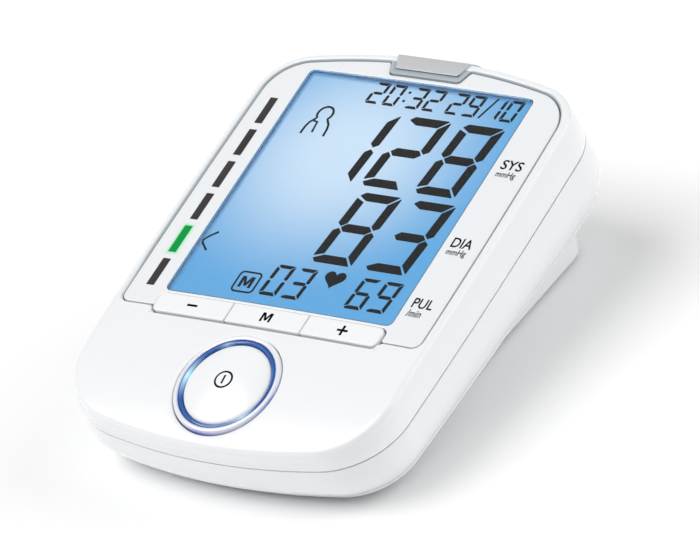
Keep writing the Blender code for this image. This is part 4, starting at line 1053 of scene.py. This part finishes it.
def buildStartCap():
    rim = startShape["cap"] * (0.93 + 0.07 * np.sin(np.radians(np.arange(10, 91, 10))))
    radii = np.concatenate([np.linspace(0.4, 13.0, 22), rim])
    heights = capHeight(np.column_stack([radii, np.zeros(len(radii))]))
    profile = list(zip(radii, heights)) + [(startShape["cap"], -3.4), (1.6, -3.4), (1.6, -7.6)]
    return turnedParts(profile, startShape["steps"], False)


def buildStartIcon():
    # a ring with an upright bar, laid on the dome
    outer = circleLoop(startShape["icon"], 48)
    hole = circleLoop(startShape["icon"] - startShape["iconStroke"], 48)
    shapes = [(outer, [hole]), boxLoop((-0.32, -1.55), (0.32, 1.55), 0.1, 0.6)]
    return inkPlates(shapes, lambda flat: capHeight(flat) + 0.03, 0.08)


makePiece("startCap", buildStartCap(), button, finishes["key"], "start_key", ["start_button"])
makePiece("startIcon", buildStartIcon(), button, finishes["ink"], "start_key")

# the ring's second colour is painted highlight, pale where it catches the lamps
looks["ringBlue"] = {"colour": (0.006, 0.085, 0.34), "rough": 0.12, "coat": 0.6, "coatRough": 0.02, "vary": 0.25,
                     "mottle": 60.0, "glow": (0.005, 0.11, 0.42), "glowStrength": 0.3, "paintedLightAndShade": (0.55, 0.86, 0.95)}
# the bezel's second colour is painted light: the ring's blue glow and blue reflections painted on the clear bezel
looks["bezel"] = {"colour": (0.86, 0.87, 0.91), "rough": 0.08, "roughSpread": 0.03, "vary": 0.05, "mottle": 70.0,
                  "coat": 1.0, "coatRough": 0.02, "paintedLightAndShade": (0.22, 0.27, 0.72)}
finishes["ringBlue"] = paintedLightFinish("ringBlueFinish", looks["ringBlue"])
finishes["bezel"] = paintedLightFinish("bezelFinish", looks["bezel"])


def hump(angles, middleDegrees, widthDegrees):
    # a smooth bump round the ring: one at its middle, nothing past its width
    apart = np.abs((np.degrees(angles) - middleDegrees + 180.0) % 360.0 - 180.0)
    return np.clip(1.0 - apart / widthDegrees, 0.0, 1.0) ** 1.5


def ringPaintedHighlight(points):
    # two pale stretches painted where the light guide catches the lamps: painted highlights
    angles = np.arctan2(points[:, 1], points[:, 0])
    return np.clip(0.9 * hump(angles, 178, 34) + 0.35 * hump(angles, 118, 14) + 0.5 * hump(angles, 318, 20), 0, 1)


def bezelPaintedLight(points):
    # painted light: the blue of the ring is painted at the bezel's inner edge, where its glow shows through, and in
    # two stretches of its outer edge as painted reflections
    angles = np.arctan2(points[:, 1], points[:, 0])
    away = np.hypot(points[:, 0], points[:, 1])
    outerEdge = np.clip((away - 17.1) / 0.4, 0, 1) * (hump(angles, 350, 60) + hump(angles, 265, 55))
    innerEdge = np.clip((16.15 - away) / 0.25, 0, 1) * 0.7
    return np.clip(outerEdge + innerEdge, 0, 1)


guideCorners = [(14.5, -7.4), (18.5, -7.4), (18.5, -6.5), (15.65, -6.5), (15.65, 0.05), (15.1, 0.25), (14.5, -0.1)]
bezelCorners = [(15.9, -4.2), (17.6, -4.2), (17.6, 0.1), (16.6, 0.5), (15.9, 0.2)]
guideProfile = softProfile(guideCorners, [0, 0.2, 0.2, 0.2, 0.2, 0.2, 0])
bezelProfile = softProfile(bezelCorners, [0, 0.3, 0.9, 0.7, 0.0])
guideParts = turnedParts(guideProfile, startShape["steps"], True)
bezelParts = turnedParts(bezelProfile, startShape["steps"], True)
lightRing = makePiece("lightRing", guideParts, button, finishes["ringBlue"], "housing",
                      ["ring_light_guide"])
startBezel = makePiece("startBezel", bezelParts, button, finishes["bezel"], "housing",
                       ["start_button_bezel"])
addPaintedLight(lightRing, ringPaintedHighlight, button)
addPaintedLight(startBezel, bezelPaintedLight, button)
print("start button made")


def buildBadge():
    # a section in v and w carried across u; the half width grows evenly towards the rear
    low, high = spanOf("badge")
    top, rear = high[2], high[1]
    outer = [(50.4, -2.1), (50.4, top - 0.02), (53.6, top), (56.1, top - 0.1), (57.75, -1.9),
             (rear, -3.6), (rear, low[2]), (rear - 0.7, low[2]), (rear - 0.7, -2.1)]
    section = roundedLoop(outer, [0.2, 0.12, 0, 1.3, 1.0, 0.6, 0.3, 0.2, 0.2], 6)
    section = finerLoop(section, 1.2)
    spread = (badgeShape["halfRear"] - badgeShape["halfFront"]) / badgeShape["reach"]
    half = badgeShape["halfFront"] + spread * (np.minimum(section[:, 0], rear) - badgeShape["front"])
    middleOf = section.mean(axis=0)
    rings = []
    for side in np.concatenate([[-1.0], np.linspace(-0.985, 0.985, 25), [1.0]]):
        # the last step at each end draws the section in, which rounds the edge
        draw = 0.0 if abs(side) < 0.99 else 1.0
        inward = (middleOf - section) / np.linalg.norm(middleOf - section, axis=1)[:, None]
        place = section + inward * 0.28 * draw
        rings.append(np.column_stack([side * half, place]))
    parts = [wallStrip(rings)]
    for ring in (rings[0], rings[-1]):
        flat, faces = sheet(ring[:, 1:], [], 50.0)
        across = np.interp(flat[:, 0], [50.4, rear], [abs(ring[:, 0]).min(), abs(ring[:, 0]).max()])
        nearest = np.linalg.norm(flat[:, None] - ring[None, :, 1:], axis=2).argmin(axis=1)
        parts.append((np.column_stack([ring[nearest, 0], flat]), faces))
    return parts


def brushedFinish(name, look):
    # satin metal: fine lines across the badge, from noise stretched along its width
    material = paintedLightFinish(name, look)
    nodes, links = material.node_tree.nodes, material.node_tree.links
    shader = nodes["Principled BSDF"]
    coordinates = nodes.new("ShaderNodeTexCoord")
    mapping = nodes.new("ShaderNodeMapping")
    mapping.inputs["Scale"].default_value = (0.05, 1.0, 1.0)
    links.new(coordinates.outputs["Object"], mapping.inputs["Vector"])
    lines = nodes.new("ShaderNodeTexNoise")
    lines.inputs["Scale"].default_value = 5000.0
    links.new(mapping.outputs["Vector"], lines.inputs["Vector"])
    polish = addRange(nodes, links, lines.outputs["Fac"], look["rough"] - 0.06, look["rough"] + 0.08)
    links.new(polish, shader.inputs["Roughness"])
    return material


finishes["silver"] = brushedFinish("silverBrushedFinish", looks["silver"])
badgePlate = makePiece("badgePlate", buildBadge(), deck, finishes["silver"], "housing", ["badge"],
                       30.0)


def badgePaintedShade(points):
    # painted shade: the front and side walls are painted dark below the plate's edge, where its shadow falls
    depth = spanOf("badge")[1][2] - points[:, 2]
    return np.clip((depth - 0.04) / 0.08, 0.0, 1.0) * (points[:, 1] < 51.5)


# paints the shadow under the badge's edge into its colour
addPaintedLight(badgePlate, badgePaintedShade)


def buildSurround():
    # a fine patch of the deck round the badge, inside the tongue, so its painted shade has smooth edges
    front, rim = tongueCorners(-0.1)
    flip = np.array([-1.0, 1.0])
    loop = finerLoop(roundedLoop(np.array([front, rim, rim * flip, front * flip]), [1.3, 0.4, 0.4, 1.3]), 0.6)
    return plateParts(loop, [], aboveDeck(0.03), aboveDeck(-0.2), 0.02, 0.4)


def surroundPaintedShade(points):
    # painted shade: darkest against the badge's front and sides, fading over the width of the tongue
    spread = (badgeShape["halfRear"] - badgeShape["halfFront"]) / badgeShape["reach"]
    half = badgeShape["halfFront"] + spread * (points[:, 1] - badgeShape["front"])
    past = np.maximum(np.maximum(np.abs(points[:, 0]) - half, badgeShape["front"] - points[:, 1]), 0.0)
    return 0.95 - 0.30 * np.clip(past / badgeShape["margin"], 0.0, 1.0)


surround = makePiece("badgeSurround", buildSurround(), deck, finishes["shell"], "housing")
# paints the shade round the badge into the deck's colour
addPaintedLight(surround, surroundPaintedShade)


# The lower case: its skin is a loft like the upper case's; the foot, the wells and the bay come after.
lowerShape = {
    "tuck": 4.6,
    "bulge": 0.9,
    "round": 1.6,
    "groove": 0.35,
    "floorDepth": 28.8,
    "floorSlope": 0.065,
    "wall": 2.3,
    "footHalf": 44.5,
    "footFront": -64.0,
    "footRear": 68.0,
    "footCorner": 12.0,
    "footBase": 1.2,
}


def lowerRings(wall, drop):
    # bulging out below the parting line, tucked under, and rounded into the sloping underside
    shape = lowerShape
    bulge = 0.0 if wall else shape["bulge"]

    def floorHeight(flat):
        return -shape["floorDepth"] - shape["floorSlope"] * (flat[:, 1] + caseShape["frontReach"])

    rings = []
    for share in np.linspace(0.0, 1.0, 18):
        ring = caseRing(wall + shape["tuck"] * share**3 - bulge * math.sin(math.pi * share))
        high = partingHeight(ring) - drop
        low = floorHeight(ring) + wall + shape["round"]
        rings.append(lift(ring, high + share * (low - high)))
    for angle in np.radians(np.linspace(0.0, 90.0, 8))[1:]:
        ring = caseRing(wall + shape["tuck"] + shape["round"] * (1 - math.cos(angle)))
        rings.append(lift(ring, floorHeight(ring) + wall + shape["round"] * (1 - math.sin(angle))))
    return rings


def cappedRings(rings):
    # walls through the rings, with a flat face over the first and the last
    points, faces = wallStrip(rings)
    count = len(rings[0])
    return [(points, faces.tolist() + [list(range(count)), list(range(len(points) - count, len(points)))])]


def solidOf(parts, place):
    # a bare mesh object, closed and facing out, for use as a cutter or as a body to cut
    faces = []
    start = 0
    for points, group in parts:
        faces += [[corner + start for corner in face] for face in group]
        start += len(points)
    mesh = bpy.data.meshes.new("block")
    mesh.from_pydata(toRoom(np.concatenate([part[0] for part in parts]), place).tolist(), [], faces)
    shape = bmesh.new()
    shape.from_mesh(mesh)
    bmesh.ops.recalc_face_normals(shape, faces=shape.faces)
    shape.to_mesh(mesh)
    shape.free()
    item = bpy.data.objects.new("block", mesh)
    bpy.context.scene.collection.objects.link(item)
    return item


def carve(item, tool, operation):
    change = item.modifiers.new("shape", "BOOLEAN")
    change.operation = operation
    change.solver = "EXACT"
    change.object = tool


def settled(item):
    # the mesh with all its modifiers applied; the item and its tools are removed
    tools = [change.object for change in item.modifiers]
    graph = bpy.context.evaluated_depsgraph_get()
    mesh = bpy.data.meshes.new_from_object(item.evaluated_get(graph))
    for spare in [item] + tools:
        bpy.data.objects.remove(spare)
    return mesh


def uprightBlock(loop, low, high):
    return solidOf(cappedRings([lift(loop, low), lift(loop, high)]), room)


def sideways(axis, centre, radius, low, high, count=48):
    # a round bar along x or y through this centre
    loop = circleLoop(radius, count)
    ends = []
    for level in (low, high):
        along = np.full(count, level)
        ring = (along, loop[:, 0] + centre[1], loop[:, 1] + centre[2]) if axis == "x" else \
            (loop[:, 0] + centre[0], along, loop[:, 1] + centre[2])
        ends.append(np.column_stack(ring))
    return solidOf(cappedRings(ends), room)


def footWedge(inset, base, rise):
    # upright sides, a chamfer at the bottom, and a top that follows the case's underside
    shape = lowerShape
    low = (-shape["footHalf"] + inset, shape["footFront"] + inset)
    high = (shape["footHalf"] - inset, shape["footRear"] - inset)
    outline = boxLoop(low, high, shape["footCorner"] - inset, 3.0)
    sine, cosine = deck["turn"][1][2], deck["turn"][1][1]
    reach = caseShape["frontReach"]
    frontY = -cosine * reach + sine * shape["floorDepth"] + deck["start"][1]
    frontZ = -sine * reach - cosine * shape["floorDepth"] + deck["start"][2]
    grade = (sine - cosine * shape["floorSlope"]) / (cosine + sine * shape["floorSlope"])
    rings = []
    for step in np.linspace(0.0, 1.0, 4):
        shrink = 0.0 if inset else 1.0 - math.sin(step * math.pi / 2)
        rings.append(lift(offsetLoop(outline, -shrink), base + 1.0 - math.cos(step * math.pi / 2)))
    rings.append(lift(outline, frontZ + grade * (outline[:, 1] - frontY) + rise))
    return solidOf(cappedRings(rings), room)


def buildLowerCase():
    shape = lowerShape
    case = solidOf(cappedRings(lowerRings(0.0, shape["groove"])), deck)
    carve(case, footWedge(0.0, shape["footBase"], 2.5), "UNION")
    carve(case, solidOf(cappedRings(lowerRings(shape["wall"], -3.0)), deck), "DIFFERENCE")
    carve(case, footWedge(shape["wall"], shape["footBase"] + shape["wall"], shape["wall"] + 2.0), "DIFFERENCE")
    bayWalls = boxLoop((-32.2, 6.5), (32.2, 66.5), 0.6)
    bayInside = boxLoop((-30.7, 8.0), (30.7, 65.0), 0.4)
    carve(case, uprightBlock(bayWalls, 1.8, 20.4), "UNION")
    carve(case, uprightBlock(bayInside, -2.0, 18.9), "DIFFERENCE")
    for side in (-1, 1):
        slot = boxLoop((side * 16.0 - 4.3, 5.5), (side * 16.0 + 4.3, 8.5), 0.3)
        carve(case, uprightBlock(slot, 3.5, 6.8), "DIFFERENCE")
    for number in range(1, 5):
        low, high = spanOf(f"rubber_foot_{number}", room)
        spot = middle((low, high))[:2]
        carve(case, uprightBlock(circleLoop(5.8, 40, spot), -1.0, 2.2), "DIFFERENCE")
    socketLow, socketHigh = spanOf("cuff_socket", room)
    socketAt = middle((socketLow, socketHigh))
    flange = (socketHigh[2] - socketLow[2]) / 2
    face = socketLow[0]
    carve(case, sideways("x", socketAt, flange + 0.3, face - 3.0, face + 1.4), "DIFFERENCE")
    carve(case, sideways("x", socketAt, 5.5, face - 3.0, face + 6.0), "DIFFERENCE")
    jackRear = spanOf("dc_jack", room)[1][1]
    jackAt = np.array([34.0, 0.0, 34.0])
    carve(case, sideways("y", jackAt, 4.5, jackRear - 7.0, jackRear + 6.0), "DIFFERENCE")
    mesh = settled(case)
    shape = bmesh.new()
    shape.from_mesh(mesh)
    bmesh.ops.remove_doubles(shape, verts=shape.verts, dist=1e-5)
    bmesh.ops.dissolve_degenerate(shape, edges=shape.edges, dist=1e-6)
    shape.to_mesh(mesh)
    shape.free()
    return mesh


# Every shown CAD node gets its finish by its slot; pieces made here already have theirs.
slotFinish = {
    "white_shell": "shell",
    "white_key": "key",
    "silver_trim": "silver",
    "display_panel": "panel",
    "clear_bezel": "bezel",
    "blue_guide": "ringBlue",
    "lcd": "display",
    "white_inner": "inner",
    "circuit_board": "board",
    "black_plastic": "black",
    "bright_metal": "steel",
    "battery_wrap": "wrap",
    "air_hose": "hose",
    "grey_rubber": "rubber",
}
showPiece("caseLower", buildLowerCase(), finishes["shell"], "housing", ["bottom_case"], 30.0)
print("lower case made")

# The parts that stay as they are get the finish of their slot.
slotOf = {part["node"]: part["material_slot"] for part in record["subparts"]}
for name, slot in slotOf.items():
    finish = finishes[slotFinish[slot]]
    item = frame["nodes"][name]
    item.data.materials.clear()
    item.data.materials.append(finish)
print("parts finished")

stageShape = {
    "floorHalf": 3.0,
    "floorColour": (0.97, 0.97, 0.97),
    "worldColour": (1.0, 1.0, 1.0),
    "worldStrength": 0.43,
    "camera": {"turn": 42.817, "height": 32.538, "roll": -17.388, "aim": (3.544, 2.320, 27.576), "away": 1853.29,
               "lens": 317.37},
}


def makeFloor(look):
    # a broad flat sheet whose paper-like finish has a faint grain
    steps = np.linspace(-look["floorHalf"], look["floorHalf"], 21)
    grid = np.stack(np.meshgrid(steps, steps), axis=-1).reshape(-1, 2)
    order = np.arange(20)[:, None] * 21 + np.arange(20)
    order = order.ravel()
    faces = np.stack([order, order + 1, order + 22, order + 21], axis=1)
    mesh = bpy.data.meshes.new("floor")
    mesh.from_pydata(lift(grid, 0.0).tolist(), [], faces.tolist())
    finish = mouldedFinish("floorFinish", {"colour": look["floorColour"], "rough": 0.8, "vary": 0.005, "mottle": 6.0,
                                           "grainStrength": 0.02})
    mesh.materials.append(finish)
    floor = bpy.data.objects.new("floor", mesh)
    bpy.context.scene.collection.objects.link(floor)


def softLight(name, towards, strength, spread, colour=(1.0, 1.0, 1.0)):
    # an even, distant light that comes from this direction; a wide spread gives soft shadows
    lamp = bpy.data.lights.new(name, "SUN")
    lamp.energy = strength
    lamp.angle = math.radians(spread)
    lamp.color = colour
    item = bpy.data.objects.new(name, lamp)
    item.rotation_euler = Vector(towards).to_track_quat("Z", "Y").to_euler()
    bpy.context.scene.collection.objects.link(item)


def makeCamera(look):
    # the view direction from turn and height, then rolled about it
    turn, height, roll = (math.radians(look[key]) for key in ("turn", "height", "roll"))
    back = Vector((math.sin(turn) * math.cos(height), -math.cos(turn) * math.cos(height), math.sin(height)))
    right = Vector((math.cos(turn), math.sin(turn), 0.0))
    upward = back.cross(right)
    tilted = right * math.cos(roll) + upward * math.sin(roll)
    head = back.cross(tilted)
    camera = bpy.data.cameras.new("camera")
    camera.lens = look["lens"]
    camera.sensor_width = 36.0
    camera.clip_end = 20.0
    item = bpy.data.objects.new("camera", camera)
    item.rotation_euler = Matrix((tilted, head, back)).transposed().to_euler()
    item.location = (Vector(look["aim"]) + back * look["away"]) * mm
    bpy.context.scene.collection.objects.link(item)
    bpy.context.scene.camera = item


makeFloor(stageShape)
makeCamera(stageShape["camera"])
softLight("overhead", (-0.5, -0.35, 1.0), 1.74, 45.0)
softLight("frontLeft", (-1.0, -0.8, 0.45), 0.28, 60.0)
softLight("rearRight", (1.0, 0.8, 0.6), 1.18, 50.0)
world = bpy.data.worlds.new("studio")
world.use_nodes = True
backdrop = world.node_tree.nodes["Background"]
backdrop.inputs["Color"].default_value = (*stageShape["worldColour"], 1.0)
backdrop.inputs["Strength"].default_value = stageShape["worldStrength"]
bpy.context.scene.world = world
bpy.context.scene.view_settings.view_transform = "Standard"
print("stage made")
